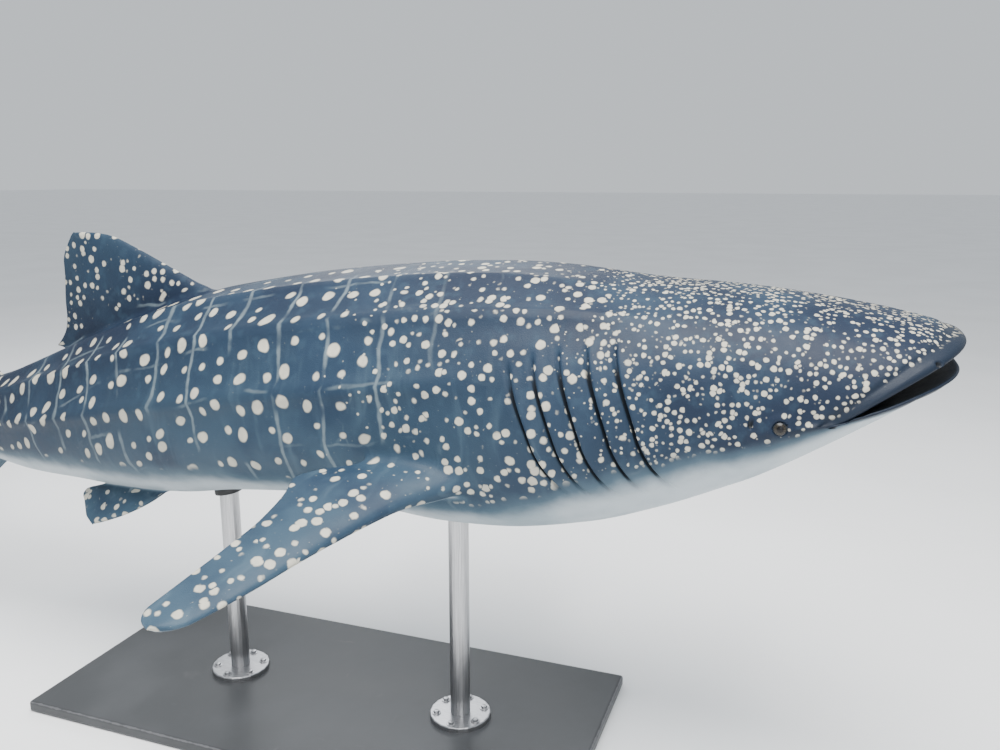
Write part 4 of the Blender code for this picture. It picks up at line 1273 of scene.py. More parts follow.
    def weld(self, bm: bmesh.types.BMesh) -> None:
        """Close the seam along the belly, the throat and the end of the tail.

        Args:
            bm: The open skin.
        """
        run, angle = bm.verts.layers.float["run"], bm.verts.layers.float["angle"]
        last = self.form.tail_end - self.form.head_ring - self.end_margin
        ends = [vert for vert in bm.verts if vert[run] >= last]
        centre = sum((vert.co for vert in ends), Vector()) / len(ends)
        for vert in ends:
            vert.co = centre
        seam = [
            vert for vert in bm.verts if vert.is_boundary or abs(vert[angle]) > self.seam_angle
        ]
        bmesh.ops.remove_doubles(bm, verts=seam, dist=self.seam_gap)
        short = [edge for edge in bm.edges if edge.calc_length() < self.least_edge]
        bmesh.ops.dissolve_degenerate(bm, edges=short, dist=self.least_edge)

    def grow(self, bm: bmesh.types.BMesh) -> None:
        """Extrude the fins from their blocks of faces, out of a fillet, all of them level by level.

        Args:
            bm: Mesh of the skin.
        """
        for name in ("fin_along", "fin_aside"):
            bm.verts.layers.float.new(name)
        for layers in (bm.verts.layers.int, bm.faces.layers.int):
            layers.new("fin")
        along_of, aside_of = (bm.verts.layers.float[name] for name in ("fin_along", "fin_aside"))
        names = ("row", "column", "fin")
        row_of, column_of, fin_of = (bm.verts.layers.int[name] for name in names)
        face_row, face_column, face_fin = (bm.faces.layers.int[name] for name in names)
        wrap = 2 * self.half_columns
        for number, root in enumerate(self.roots):
            start = root.column - root.half
            columns = {(start + j) % wrap for j in range(2 * root.half)}
            root.faces = [
                face for face in bm.faces
                if root.first <= face[face_row] < root.last and face[face_column] in columns
            ]
            for face in root.faces:
                face[face_fin] = number
            verts = list(dict.fromkeys(vert for face in root.faces for vert in face.verts))
            for vert in verts:
                vert[along_of] = (vert[row_of] - root.first) / (root.last - root.first)
                vert[aside_of] = root.sign * (((vert[column_of] - start) % wrap) / root.half - 1.0)
                vert[fin_of] = number
            root.levels = self.fin_levels(root.fin)
            root.start = self.start_of(root.fin, verts, bm)
        for step in range(max(len(root.levels) for root in self.roots)):
            growing = [root for root in self.roots if step < len(root.levels)]
            faces = [face for root in growing for face in root.faces]
            made = bmesh.ops.extrude_face_region(bm, geom=faces)["geom"]
            bmesh.ops.delete(bm, geom=faces, context="FACES")
            for root in growing:
                root.faces, root.verts = [], []
            for item in made:
                if isinstance(item, bmesh.types.BMFace):
                    self.roots[item[face_fin]].faces.append(item)
                elif isinstance(item, bmesh.types.BMVert):
                    self.roots[item[fin_of]].verts.append(item)
            for root in growing:
                self.set_level(root, root.levels[step], bm)

    def fin_places(self, verts: list[Any], bm: bmesh.types.BMesh) -> tuple[Array, Array]:
        """Places of vertices along and across the fin that they belong to."""
        layers = bm.verts.layers.float
        return values(verts, layers["fin_along"]), values(verts, layers["fin_aside"])

    def keys(self, along: Array, aside: Array) -> list[Range]:
        """Places on a block as keys, by which its vertices are found again at every level."""
        return [tuple(pair) for pair in np.round((along, aside), self.place_digits).T.tolist()]

    def start_of(
        self, fin: Blade, verts: list[Any], bm: bmesh.types.BMesh
    ) -> dict[Range, tuple[Any, ...]]:
        """Note what a block's vertices are at the root.

        Args:
            fin: The fin.
            verts: Vertices of the block.
            bm: Mesh of the skin.

        Returns:
            For each place on the block its position, pattern place, paleness, root point and span.
        """
        pale_of = bm.verts.layers.float["skin_pale"]
        place_of = bm.verts.layers.float_vector["skin_place"]
        along, aside = self.fin_places(verts, bm)
        points, spans = self.root_points(fin, along, aside)
        return {
            key: (np.array(vert.co), np.array(vert[place_of]), vert[pale_of], point, span)
            for key, vert, point, span in zip(self.keys(along, aside), verts, points, spans)
        }

    def fin_levels(self, fin: Blade) -> list[Range]:
        """List the steps of a fin's growth.

        Args:
            fin: The fin.

        Returns:
            For each level its share of the fillet, up to 1, and its share of the span beyond.
        """
        fillet = [(step / self.fillet_steps, 0.0) for step in range(1, self.fillet_steps + 1)]
        body = [fin.rounding * step / fin.levels for step in range(1, fin.levels + 1)]
        turns = [0.5 * math.pi * step / self.tip_steps for step in range(1, self.tip_steps + 1)]
        tip = [fin.rounding + (1.0 - fin.rounding) * math.sin(turn) for turn in turns]
        return fillet + [(1.0, share) for share in body + tip]

    def set_level(self, root: Root, level: Range, bm: bmesh.types.BMesh) -> None:
        """Move the vertices of one level of a fin to their places.

        Args:
            root: The fin's block, with the level's vertices.
            level: Share of the fillet, and share of the span beyond it.
            bm: Mesh of the skin.
        """
        fin, verts, form, length = root.fin, root.verts, self.form, self.form.length
        pale_of = bm.verts.layers.float["skin_pale"]
        place_of = bm.verts.layers.float_vector["skin_place"]
        along, aside = self.fin_places(verts, bm)
        begun = [root.start[key] for key in self.keys(along, aside)]
        foot, start, span = (np.array([item[k] for item in begun]) for k in (0, 3, 4))
        rise = fin.fillet / (fin.reach() * length)
        share, beyond = level
        top = span + rise + (1.0 - span - rise) * beyond
        points = fin.section(along, aside, top, length)
        reached = np.linalg.norm(points - start, axis=1) * length * share
        shift = (points[:, 0] - start[:, 0]) * length * share
        world = form.place(points)
        if share < 1.0:
            rest = 1 - share
            world = foot * rest**2 + form.place(start) * 2 * share * rest + world * share**2
        if beyond >= 1.0:
            beyond_tip = fin.section(along, aside, top + self.tip_look, length)
            outward = unit(form.place(beyond_tip) - world)
            bulge = (1.0 - (2.0 * along - 1.0) ** 2) * (1.0 - aside**2) * self.tip_bulge
            world = world + outward * bulge[:, None]
        turn = -aside * math.copysign(1.0, math.cos(math.radians(root.centre)))
        if fin.paired:
            turn = np.full(len(verts), fin.side)
        pale = fin.paleness(along, aside)
        for k, vert in enumerate(verts):
            vert.co = world[k]
            _, place, was_pale, _, _ = begun[k]
            vert[place_of] = (place[0] + shift[k], place[1] + turn[k] * reached[k], beyond)
            vert[pale_of] = was_pale + (pale[k] - was_pale) * share


class Graph:
    """Short ways to add and join the nodes of a material or a node group."""

    def __init__(self, tree: Any) -> None:
        """Keep the tree that nodes are added to."""
        self.tree = tree

    def join(self, value: Any, socket: Any) -> None:
        """Link an output to a socket, or set the socket's own value.

        Args:
            value: The output, or the value.
            socket: The socket.
        """
        if isinstance(value, bpy.types.NodeSocket):
            self.tree.links.new(value, socket)
        else:
            socket.default_value = value

    def add(self, kind: str, inputs: Any = (), **settings: Any) -> Any:
        """Add a node.

        Args:
            kind: Its type.
            inputs: Values for its first inputs in order, or for inputs by name.
            **settings: Its settings.

        Returns:
            The node.
        """
        node = self.tree.nodes.new(kind)
        for name, value in settings.items():
            setattr(node, name, value)
        for key in inputs if isinstance(inputs, dict) else range(len(inputs)):
            self.join(inputs[key], node.inputs[key])
        return node

    def math(self, operation: str, *numbers: Any) -> Any:
        """Calculate with numbers."""
        return self.add("ShaderNodeMath", numbers, operation=operation).outputs[0]

    def times(self, first: Any, second: Any) -> Any:
        """Multiply two numbers."""
        return self.math("MULTIPLY", first, second)

    def linear(self, number: Any, factor: Any, start: Any) -> Any:
        """Multiply a number and add to it."""
        return self.math("MULTIPLY_ADD", number, factor, start)

    def vector(self, operation: str, *places: Any) -> Any:
        """Calculate with vectors."""
        return self.add("ShaderNodeVectorMath", places, operation=operation).outputs[0]

    def swayed(self, place: Any, sway: Any, amount: float) -> Any:
        """Move a place by a share of a vector.

        Args:
            place: The place.
            sway: The vector.
            amount: The share.

        Returns:
            The moved place.
        """
        inputs = {0: sway, "Scale": amount}
        scaled = self.add("ShaderNodeVectorMath", inputs, operation="SCALE").outputs[0]
        return self.vector("ADD", place, scaled)

    def noise(self, place: Any, scale: Any, detail: float = 2.0, output: str = "Fac") -> Any:
        """Cloudy noise at a place, with a number of blobs in a metre."""
        inputs = {"Vector": place, "Scale": scale, "Detail": detail}
        return self.add("ShaderNodeTexNoise", inputs).outputs[output]

    def cells(self, inputs: dict[str, Any], feature: str = "F1", dimensions: str = "3D") -> Any:
        """Make a pattern of cells round scattered points.

        Args:
            inputs: Values for the pattern's inputs, by name.
            feature: Which feature of the cells it gives.
            dimensions: Whether the cells fill a plane or the solid.

        Returns:
            The pattern's outputs.
        """
        return self.add(
            "ShaderNodeTexVoronoi", inputs, voronoi_dimensions=dimensions, feature=feature
        ).outputs

    def mapped(self, place: Any, **inputs: Any) -> Any:
        """Turn or stretch a place."""
        return self.add("ShaderNodeMapping", {"Vector": place, **inputs}).outputs[0]

    def ramp(self, number: Any, low: Any, high: Any) -> Any:
        """Rise smoothly from 0 at low to 1 at high, or fall where low is the higher.

        Args:
            number: The number that is read.
            low: Number where the ramp begins.
            high: Number where it ends.

        Returns:
            The ramp's height.
        """
        inputs = (number, low, high)
        node = self.add("ShaderNodeMapRange", inputs, interpolation_type="SMOOTHSTEP")
        return node.outputs["Result"]

    def blend(self, factor: Any, first: Any, second: Any) -> Any:
        """Mix two colours.

        Args:
            factor: Share of the second.
            first: The first colour.
            second: The second colour.

        Returns:
            The mixed colour.
        """
        node = self.add("ShaderNodeMix", {"Factor": factor}, data_type="RGBA")
        colours = [socket for socket in node.inputs if socket.type == "RGBA"]
        for colour, socket in zip((first, second), colours):
            self.join(colour, socket)
        return next(socket for socket in node.outputs if socket.type == "RGBA")

    def paint(self, under: Any, *coats: tuple[Any, Any]) -> Any:
        """Lay colours over one another, each where its mask is.

        Args:
            under: The lowest colour.
            *coats: Mask and colour of each coat.

        Returns:
            The painted colour.
        """
        for mask, colour in coats:
            under = self.blend(mask, under, colour)
        return under

    def split(self, place: Any) -> list[Any]:
        """Take a vector apart into its three numbers."""
        return list(self.add("ShaderNodeSeparateXYZ", (place,)).outputs)

    def objects(self) -> Any:
        """Place on the object, in metres."""
        return self.add("ShaderNodeTexCoord").outputs["Object"]

    def attribute(self, name: str, output: str = "Fac") -> Any:
        """Value that a piece carries on its vertices."""
        return self.add("ShaderNodeAttribute", attribute_name=name).outputs[output]

    def effect(self, kind: "type[SharedEffect]", place: Any, **numbers: Any) -> Any:
        """Place a shared group with its own values, and give its mask."""
        inputs = {"Place": place, **numbers}
        return self.add("ShaderNodeGroup", node_tree=kind.group(), inputs=inputs).outputs["Mask"]


class MaterialGraph(Graph):
    """Graph of a new material."""

    def __init__(self, name: str) -> None:
        """Start a material.

        Args:
            name: Name of the material.
        """
        self.material = bpy.data.materials.new(name)
        self.material.use_nodes = True
        super().__init__(self.material.node_tree)

    def dress(self, inputs: dict[str, Any], relief: tuple[Any, float, float] | None = None) -> Any:
        """Join what a finish has worked out to the shader.

        Args:
            inputs: Values for the shader's inputs, by name.
            relief: Height of the surface, strength of its bump and metres for a height of 1.

        Returns:
            The material.
        """
        if relief:
            bump = dict(zip(("Height", "Strength", "Distance"), relief))
            inputs = {**inputs, "Normal": self.add("ShaderNodeBump", bump).outputs["Normal"]}
        shader = self.tree.nodes["Principled BSDF"]
        for name, value in inputs.items():
            self.join(value, shader.inputs[name])
        return self.material


class SharedEffect:
    """A shader group that several materials place, each with its own values."""

    name = ""
    numbers: tuple[str, ...] = ()

    @classmethod
    def group(cls) -> Any:
        """Build the group once, with its named sockets.

        Returns:
            The node group.
        """
        if cls.name in bpy.data.node_groups:
            return bpy.data.node_groups[cls.name]
        tree = bpy.data.node_groups.new(cls.name, "ShaderNodeTree")
        tree.interface.new_socket(name="Place", in_out="INPUT", socket_type="NodeSocketVector")
        for name in cls.numbers:
            tree.interface.new_socket(name=name, in_out="INPUT", socket_type="NodeSocketFloat")
        tree.interface.new_socket(name="Mask", in_out="OUTPUT", socket_type="NodeSocketFloat")
        graph = Graph(tree)
        given = graph.add("NodeGroupInput").outputs
        graph.add("NodeGroupOutput", {"Mask": cls.mask(graph, given)})
        return tree

    @classmethod
    def mask(cls, graph: Graph, given: Any) -> Any:
        """Work out the group's mask from its inputs."""
        raise NotImplementedError


class Spots(SharedEffect):
    """Round spots of uneven size on a loose grid of two numbers in metres."""

    name = "spots"
    numbers = ("Spacing", "Radius", "Scatter", "Softness")
    dimensions = "2D"
    size_spread = 0.7
    least_size = 0.62

    @classmethod
    def mask(cls, graph: Graph, given: Any) -> Any:
        """Work out where the spots are.

        Args:
            graph: Graph of the group.
            given: The group's inputs.

        Returns:
            The mask.
        """
        cells = graph.cells({
            "Vector": given["Place"], "Scale": graph.math("DIVIDE", 1.0, given["Spacing"]),
            "Randomness": given["Scatter"],
        }, dimensions=cls.dimensions)
        away = graph.times(cells["Distance"], given["Spacing"])
        chance = graph.split(cells["Color"])[0]
        size = graph.linear(chance, cls.size_spread, cls.least_size)
        radius = graph.times(given["Radius"], size)
        outer, inner = (
            graph.math(operation, radius, given["Softness"]) for operation in ("ADD", "SUBTRACT")
        )
        return graph.ramp(away, outer, inner)


class Speckles(Spots):
    """Round spots where cells spread through the solid meet its surface."""

    name = "speckles"
    dimensions = "3D"


class Bars(SharedEffect):
    """Thin pale lines at even steps of one number in metres, broken here and there."""

    name = "bars"
    numbers = ("Distance", "Spacing", "Width", "Breaks")
    thin_to = 0.20
    break_fade = 0.12

    @classmethod
    def mask(cls, graph: Graph, given: Any) -> Any:
        """Work out where the lines are.

        Args:
            graph: Graph of the group.
            given: The group's inputs.

        Returns:
            The mask.
        """
        away = graph.math("PINGPONG", given["Distance"], graph.times(given["Spacing"], 0.5))
        uneven = graph.math("ADD", graph.noise(given["Place"], 9.0), 0.5)
        thick = graph.times(given["Width"], uneven)
        line = graph.ramp(away, thick, graph.times(thick, cls.thin_to))
        whole = graph.math("ADD", given["Breaks"], cls.break_fade)
        kept = graph.ramp(graph.noise(given["Place"], 5.0), given["Breaks"], whole)
        return graph.times(line, kept)


class Grain(SharedEffect):
    """Fine grain with a few larger dents, as a height."""

    name = "grain"
    numbers = ("Fineness", "Dents")
    cell_share = 0.45
    dent_share = 0.06

    @classmethod
    def mask(cls, graph: Graph, given: Any) -> Any:
        """Work out the grain's height.

        Args:
            graph: Graph of the group.
            given: The group's inputs.

        Returns:
            The height.
        """
        fine = graph.noise(given["Place"], given["Fineness"], 1.0)
        scale = graph.times(given["Fineness"], cls.cell_share)
        cells = graph.cells({"Vector": given["Place"], "Scale": scale})
        coarse = graph.noise(given["Place"], graph.times(given["Fineness"], cls.dent_share))
        return graph.linear(coarse, given["Dents"], graph.linear(cells["Distance"], -0.5, fine))


class Scratches(SharedEffect):
    """Thin stray scratches that cross each other."""

    name = "scratches"
    numbers = ("Density", "Amount")
    sway = 0.12
    # Turn and stretch of each of the two sets
    sets = ((0.4, (1.0, 0.06, 1.0)), (1.9, (0.05, 1.0, 0.8)))
    width = 0.018
    core = 0.002

    @classmethod
    def mask(cls, graph: Graph, given: Any) -> Any:
        """Work out where the scratches are.

        Args:
            graph: Graph of the group.
            given: The group's inputs.

        Returns:
            The mask.
        """
        place = given["Place"]
        bent = graph.swayed(place, graph.noise(place, 6.0, output="Color"), cls.sway)
        lines = []
        for turn, stretch in cls.sets:
            turned = graph.mapped(bent, Rotation=(turn, 0.3, turn), Scale=stretch)
            cells = graph.cells(
                {"Vector": turned, "Scale": given["Density"]}, feature="DISTANCE_TO_EDGE"
            )
            lines.append(graph.ramp(cells["Distance"], cls.width, cls.core))
        rest = graph.math("SUBTRACT", 1.0, given["Amount"])
        spare = graph.ramp(graph.noise(place, 7.0), rest, 1.0)
        return graph.times(graph.math("MAXIMUM", *lines), spare)


@dataclass(frozen=True)
class SpotField:
    """Stretch of the body that one kind of spots covers, in metres along it, and their sizes."""

    kind: type[Spots]
    begins: Range
    ends: Range
    spacing: float
    radius: float
    scatter: float
    softness: float
    on_fins: bool = False

    def lay(self, graph: Graph, place: Any, along: Any, fins: Any) -> Any:
        """Lay the spots over their stretch, and over all fins or none.

        Args:
            graph: Graph of the material.
            place: Where the spots lie.
            along: Place along the body, in metres.
            fins: Mask of the fins.

        Returns:
            The mask.
        """
        share = graph.times(graph.ramp(along, *self.begins), graph.ramp(along, *self.ends))
        if self.on_fins:
            share = graph.math("MAXIMUM", share, fins)
        else:
            share = graph.times(share, graph.math("SUBTRACT", 1.0, fins))
        return graph.effect(
            self.kind, place, Spacing=self.spacing, Radius=graph.times(share, self.radius),
            Scatter=self.scatter, Softness=self.softness,
        )


@dataclass(frozen=True)
class HideFinish:
    """Dark hide with pale spots, bars and lines, pale below, with painted shade inside the mouth,
    the gill slits and the openings, along the lips, and partly in the plain band over the belly.
    """

    back: Colour = (0.005, 0.012, 0.029, 1.0)
    flank: Colour = (0.028, 0.056, 0.086, 1.0)
    cloud: Colour = (0.012, 0.027, 0.051, 1.0)
    spot: Colour = (0.58, 0.55, 0.45, 1.0)
    line: Colour = (0.20, 0.25, 0.27, 1.0)
    # Plain grey-blue of the band over the belly, partly the real countershading and partly painted
    # shade; the smears use it too
    under: Colour = (0.060, 0.100, 0.134, 1.0)
    belly: Colour = (0.385, 0.435, 0.465, 1.0)
    belly_cloud: Colour = (0.26, 0.32, 0.355, 1.0)
    # Near-black painted shade deep inside the mouth, the gill slits, the nostrils and the spiracles
    inside: Colour = (0.008, 0.011, 0.016, 1.0)
    # Painted shade: a plain dark band along the lips, wider on the lower jaw
    lip: Colour = (0.006, 0.012, 0.024, 1.0)
    roughness: float = 0.54
    body_spots: SpotField = SpotField(
        Spots, (1.50, 2.05), (5.00, 4.30), spacing=0.105, radius=0.0195, scatter=0.50,
        softness=0.0045,
    )
    speckles: tuple[SpotField, ...] = (
        SpotField(Speckles, (-0.2, -0.1), (1.40, 0.85), 0.0215, 0.0075, 0.80, 0.0017),
        SpotField(Speckles, (0.70, 1.20), (2.25, 1.60), 0.041, 0.0135, 0.85, 0.0026),
        SpotField(Speckles, (4.10, 4.70), (9.10, 9.00), 0.047, 0.0145, 0.80, 0.0030, on_fins=True),
    )
    sway: float = 0.12
    edge_sway: float = 0.008
    bar_spacing: float = 0.210
    bar_start: float = 0.026
    upright_bars: Range = (0.0125, 0.42)
    level_bars: Range = (0.0095, 0.50)
    level_strength: float = 0.6
    smear_stretch: Triple = (15.0, 2.4, 1.0)

    def bars(self, graph: Graph, where: Any, swayed: Any, along: Any, aside: Any) -> Any:
        """Lay the upright and level bars over the body.

        Args:
            graph: Graph of the material.
            where: Place on the object.
            swayed: Swaying place on the skin.
            along: Place along the body, in metres.
            aside: Distance from the ridge of the back, in metres.

        Returns:
            The mask.
        """
        upright, level = (
            graph.effect(
                Bars, where, Distance=graph.math("ADD", distance, self.bar_start),
                Spacing=self.bar_spacing, Width=width, Breaks=breaks,
            )
            for distance, (width, breaks) in zip(
                graph.split(swayed), (self.upright_bars, self.level_bars)
            )
        )
        low = graph.times(graph.ramp(aside, 1.05, 0.75), self.level_strength)
        both = graph.math(
            "MAXIMUM", graph.times(upright, graph.ramp(aside, 0.06, 0.22)), graph.times(level, low)
        )
        stretch = graph.times(graph.ramp(along, 1.35, 2.0), graph.ramp(along, 5.4, 4.8))
        return graph.times(stretch, both)

    def make(self) -> Any:
        """Build the material.

        Returns:
            The material.
        """
        graph = MaterialGraph("hide")
        where, place = graph.objects(), graph.attribute("skin_place", "Vector")
        sway = graph.vector("SUBTRACT", graph.noise(place, 3.0, 4.0, "Color"), (0.5, 0.5, 0.5))
        swayed = graph.swayed(place, sway, self.sway)
        edged = graph.swayed(where, graph.noise(where, 55.0, 1.0, "Color"), self.edge_sway)
        along, girth, fin_span = graph.split(place)
        aside = graph.math("ABSOLUTE", girth)
        clouds, fine_clouds = graph.noise(where, 3.2, 4.0), graph.noise(where, 21.0, 3.0)
        uneven = graph.linear(graph.noise(where, 9.0, 4.0), 0.36, -0.18)
        pale = graph.math("ADD", graph.attribute("skin_pale"), uneven)
        lips = graph.attribute("skin_lips")
        fins = graph.ramp(fin_span, 0.0, 0.10)
        spots = self.body_spots.lay(graph, swayed, along, fins)
        for speckles in self.speckles:
            spots = graph.math("MAXIMUM", spots, speckles.lay(graph, edged, along, fins))
        spots = graph.times(spots, graph.ramp(pale, 0.36, 0.20))
        # No spots in the painted shade along the lips
        spots = graph.times(spots, graph.ramp(graph.linear(clouds, 0.06, lips), 0.060, 0.080))
        bars = self.bars(graph, where, swayed, along, aside)
        bars = graph.times(bars, graph.math("SUBTRACT", 1.0, fins))
        bars = graph.times(bars, graph.linear(fine_clouds, 0.75, 0.05))
        smears = graph.noise(graph.vector("MULTIPLY", swayed, self.smear_stretch), 1.0, 3.0)
        smears = graph.times(graph.ramp(smears, 0.52, 0.72), graph.ramp(aside, 0.30, 0.85))
        smears = graph.times(smears, graph.ramp(along, 0.9, 1.7))
        flank = graph.times(graph.ramp(aside, 0.15, 1.05), graph.ramp(along, 0.5, 2.3))
        flank = graph.math("MAXIMUM", flank, graph.times(fin_span, 0.6))
        # Dark hide, with painted shade in a plain band along the lips
        dark = graph.paint(
            self.back, (flank, self.flank), (graph.ramp(clouds, 0.42, 0.68), self.cloud),
            (graph.times(graph.ramp(fine_clouds, 0.50, 0.72), 0.30), self.flank),
            (graph.ramp(lips, 0.11, 0.04), self.lip), (graph.times(smears, 0.40), self.under),
            (bars, self.line),
        )
        spotted = graph.blend(spots, dark, self.spot)
        belly = graph.blend(graph.ramp(clouds, 0.45, 0.70), self.belly, self.belly_cloud)
        scratches = graph.effect(Scratches, where, Density=3.0, Amount=0.42)
        # Painted shade: near black where the skin lies deep inside the mouth, a gill slit or an
        # opening
        inner = graph.ramp(graph.attribute("skin_inner_shade"), 0.30, 0.80)
        # The plain band over the belly is partly painted shade, and the inner colour is painted
        # shade
        colour = graph.paint(
            dark, (graph.linear(fine_clouds, 0.5, 0.45), spotted),
            (graph.ramp(pale, 0.10, 0.60), self.under), (graph.ramp(pale, 0.42, 0.95), belly),
            (graph.times(scratches, 0.25), self.line), (inner, self.inside),
        )
        rough = graph.linear(fine_clouds, 0.22, self.roughness - 0.10)
        grain = graph.effect(Grain, where, Fineness=420.0, Dents=1.6)
        return graph.dress({
            "Base Color": colour, "Roughness": graph.math("ADD", rough, graph.times(spots, 0.06)),
            "Specular IOR Level": 0.21, "Coat Weight": 0.04, "Coat Roughness": 0.22,
        }, relief=(grain, 0.45, 0.0016))


@dataclass(frozen=True)
class EyeFinish:
    """Glossy dark eye with a round pupil."""

    pupil: Colour = (0.002, 0.002, 0.003, 1.0)
    iris: Colour = (0.011, 0.0095, 0.008, 1.0)
    iris_ray: Colour = (0.031, 0.027, 0.021, 1.0)
    white: Colour = (0.020, 0.026, 0.034, 1.0)
    pupil_turn: float = 0.105
    pupil_fade: float = 0.006
    iris_turn: float = 0.205
    iris_fade: float = 0.012

    def make(self) -> Any:
        """Build the material.

        Returns:
            The material.
        """
        graph = MaterialGraph("eye")
        turn, ray = graph.attribute("eye_turn"), graph.attribute("eye_ray")
        drawn = graph.add("ShaderNodeCombineXYZ", (graph.times(ray, 26.0), graph.times(turn, 9.0)))
        rays = graph.noise(drawn.outputs[0], 1.0, 3.0)
        white = graph.ramp(turn, self.iris_turn - self.iris_fade, self.iris_turn + self.iris_fade)
        pupil = graph.ramp(
            turn, self.pupil_turn + self.pupil_fade, self.pupil_turn - self.pupil_fade
        )
        colour = graph.paint(
            self.iris, (graph.ramp(rays, 0.35, 0.65), self.iris_ray), (white, self.white),
            (pupil, self.pupil),
        )
        return graph.dress({
            "Base Color": colour, "Roughness": graph.linear(rays, 0.10, 0.22),
            "Specular IOR Level": 0.16, "Coat Weight": 0.28, "Coat Roughness": 0.03,
        }, relief=(rays, 0.08, 0.0004))


@dataclass(frozen=True)
class PaintFinish:
    """Dark satin paint, a little worn where the edges are."""

    paint: Colour = (0.040, 0.042, 0.045, 1.0)
    thin: Colour = (0.062, 0.065, 0.070, 1.0)
    bare: Colour = (0.20, 0.20, 0.21, 1.0)
    edge_width: float = 0.012

    def make(self, half_size: Range, top: float) -> Any:
        """Build the material.

        Args:
            half_size: Half the length and width of the painted block, in metres.
            top: Height of its top, in metres.

        Returns:
            The material.
        """
        graph = MaterialGraph("stand_paint_dark")
        where = graph.objects()
        along, aside, up = graph.split(where)
        near_x, near_y, near_top = (
            graph.math("SUBTRACT", place, edge - self.edge_width) for place, edge in (
                (graph.math("ABSOLUTE", along), half_size[0]),
                (graph.math("ABSOLUTE", aside), half_size[1]), (up, top),
            )
        )
        corner = graph.math("MINIMUM", graph.math("MAXIMUM", near_x, near_y), near_top)
        worn = graph.math("ADD", corner, graph.times(graph.noise(where, 38.0, 5.0), 0.010))
        worn = graph.ramp(worn, 0.0098, 0.0125)
        scratches = graph.effect(Scratches, where, Density=2.2, Amount=0.40)
        clouds = graph.noise(where, 2.4, 6.0)
        colour = graph.paint(
            self.paint, (graph.ramp(clouds, 0.35, 0.75), self.thin),
            (graph.times(scratches, 0.35), self.bare), (graph.times(worn, 0.8), self.bare),
        )
        peel = graph.effect(Grain, where, Fineness=300.0, Dents=0.6)
        return graph.dress({
            "Base Color": colour, "Metallic": graph.times(worn, 0.7),
            "Roughness": graph.linear(clouds, 0.25, 0.28), "Specular IOR Level": 0.30,
        }, relief=(peel, 0.10, 0.0008))


@dataclass(frozen=True)
class SteelFinish:
    """Steel brushed one way."""

    dull: Colour = (0.34, 0.34, 0.35, 1.0)
    bright: Colour = (0.50, 0.50, 0.51, 1.0)

    def make(self, name: str, brushing: Triple) -> Any:
        """Build the material.

        Args:
            name: Name of the material.
            brushing: Marks in a metre along each axis; the fewest run with the brush.

        Returns:
            The material.
        """
        graph = MaterialGraph(name)
        where = graph.objects()
        marks = graph.noise(graph.mapped(where, Scale=brushing), 1.0, 3.0)
        rough = graph.linear(graph.noise(where, 9.0, 4.0), 0.14, 0.20)
        scratches = graph.effect(Scratches, where, Density=14.0, Amount=0.36)
        return graph.dress({
            "Base Color": graph.blend(graph.ramp(marks, 0.3, 0.7), self.dull, self.bright),
            "Metallic": 1.0, "Roughness": graph.linear(marks, 0.10, rough),
        }, relief=(graph.linear(scratches, -0.6, marks), 0.14, 0.0005))


@dataclass(frozen=True)
class RubberFinish:
    """Dull black rubber with fine grain."""

    black: Colour = (0.014, 0.014, 0.015, 1.0)
    grey: Colour = (0.034, 0.034, 0.036, 1.0)

    def make(self) -> Any:
        """Build the material.

        Returns:
            The material.
        """
        graph = MaterialGraph("collar_rubber")
        where = graph.objects()
        clouds = graph.noise(where, 30.0, 5.0)
        grain = graph.effect(Grain, where, Fineness=700.0, Dents=0.4)
        return graph.dress({
            "Base Color": graph.blend(graph.ramp(clouds, 0.4, 0.7), self.black, self.grey),
            "Roughness": graph.linear(clouds, 0.2, 0.55),
        }, relief=(grain, 0.2, 0.0005))


@dataclass(frozen=True)
class FloorFinish:
    """Plain pale floor."""

    pale: Colour = (0.86, 0.87, 0.88, 1.0)
    shade: Colour = (0.82, 0.83, 0.84, 1.0)

    def make(self) -> Any:
        """Build the material.

        Returns:
            The material.
        """
        graph = MaterialGraph("floor_pale")
        clouds = graph.noise(graph.objects(), 0.7, 4.0)
        return graph.dress({
            "Base Color": graph.blend(graph.ramp(clouds, 0.3, 0.7), self.pale, self.shade),
            "Roughness": graph.linear(clouds, 0.1, 0.7),
        })


def add_object(name: str, data: Any) -> Any:
    """Make an object of its data, in the scene.

    Args:
        name: Name of the object.
        data: Its data.

    Returns:
        The object.
    """
    made = bpy.data.objects.new(name, data)
    bpy.context.scene.collection.objects.link(made)
    return made


def add_mesh(name: str, bm: bmesh.types.BMesh, material: Any) -> Any:
    """Make an object of a bmesh, which is freed.

    Args:
        name: Name of the object.
        bm: Its mesh, in place.
        material: Its material.

    Returns:
        The object.
    """
    mesh = bpy.data.meshes.new(name)
    bm.to_mesh(mesh)
    bm.free()
    mesh.materials.append(material)
    return add_object(name, mesh)


def add_piece(
    name: str, bm: bmesh.types.BMesh, material: Any, smooth_angle: float = 180.0
) -> Any:
    """Make a piece of a bmesh, riding on the fixed body.

    Args:
        name: Name of the piece.
        bm: Its mesh, in place, which is freed.
        material: Its material.
        smooth_angle: Edges turned by more than this, in degrees, stay sharp.

    Returns:
        The piece.
    """
    piece = add_mesh(name, bm, material)
    piece.data.shade_smooth()
    piece.data.set_sharp_from_angle(angle=math.radians(smooth_angle))
    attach(piece, "root")
    log.info("%s: %d vertices", name, len(piece.data.vertices))
    return piece


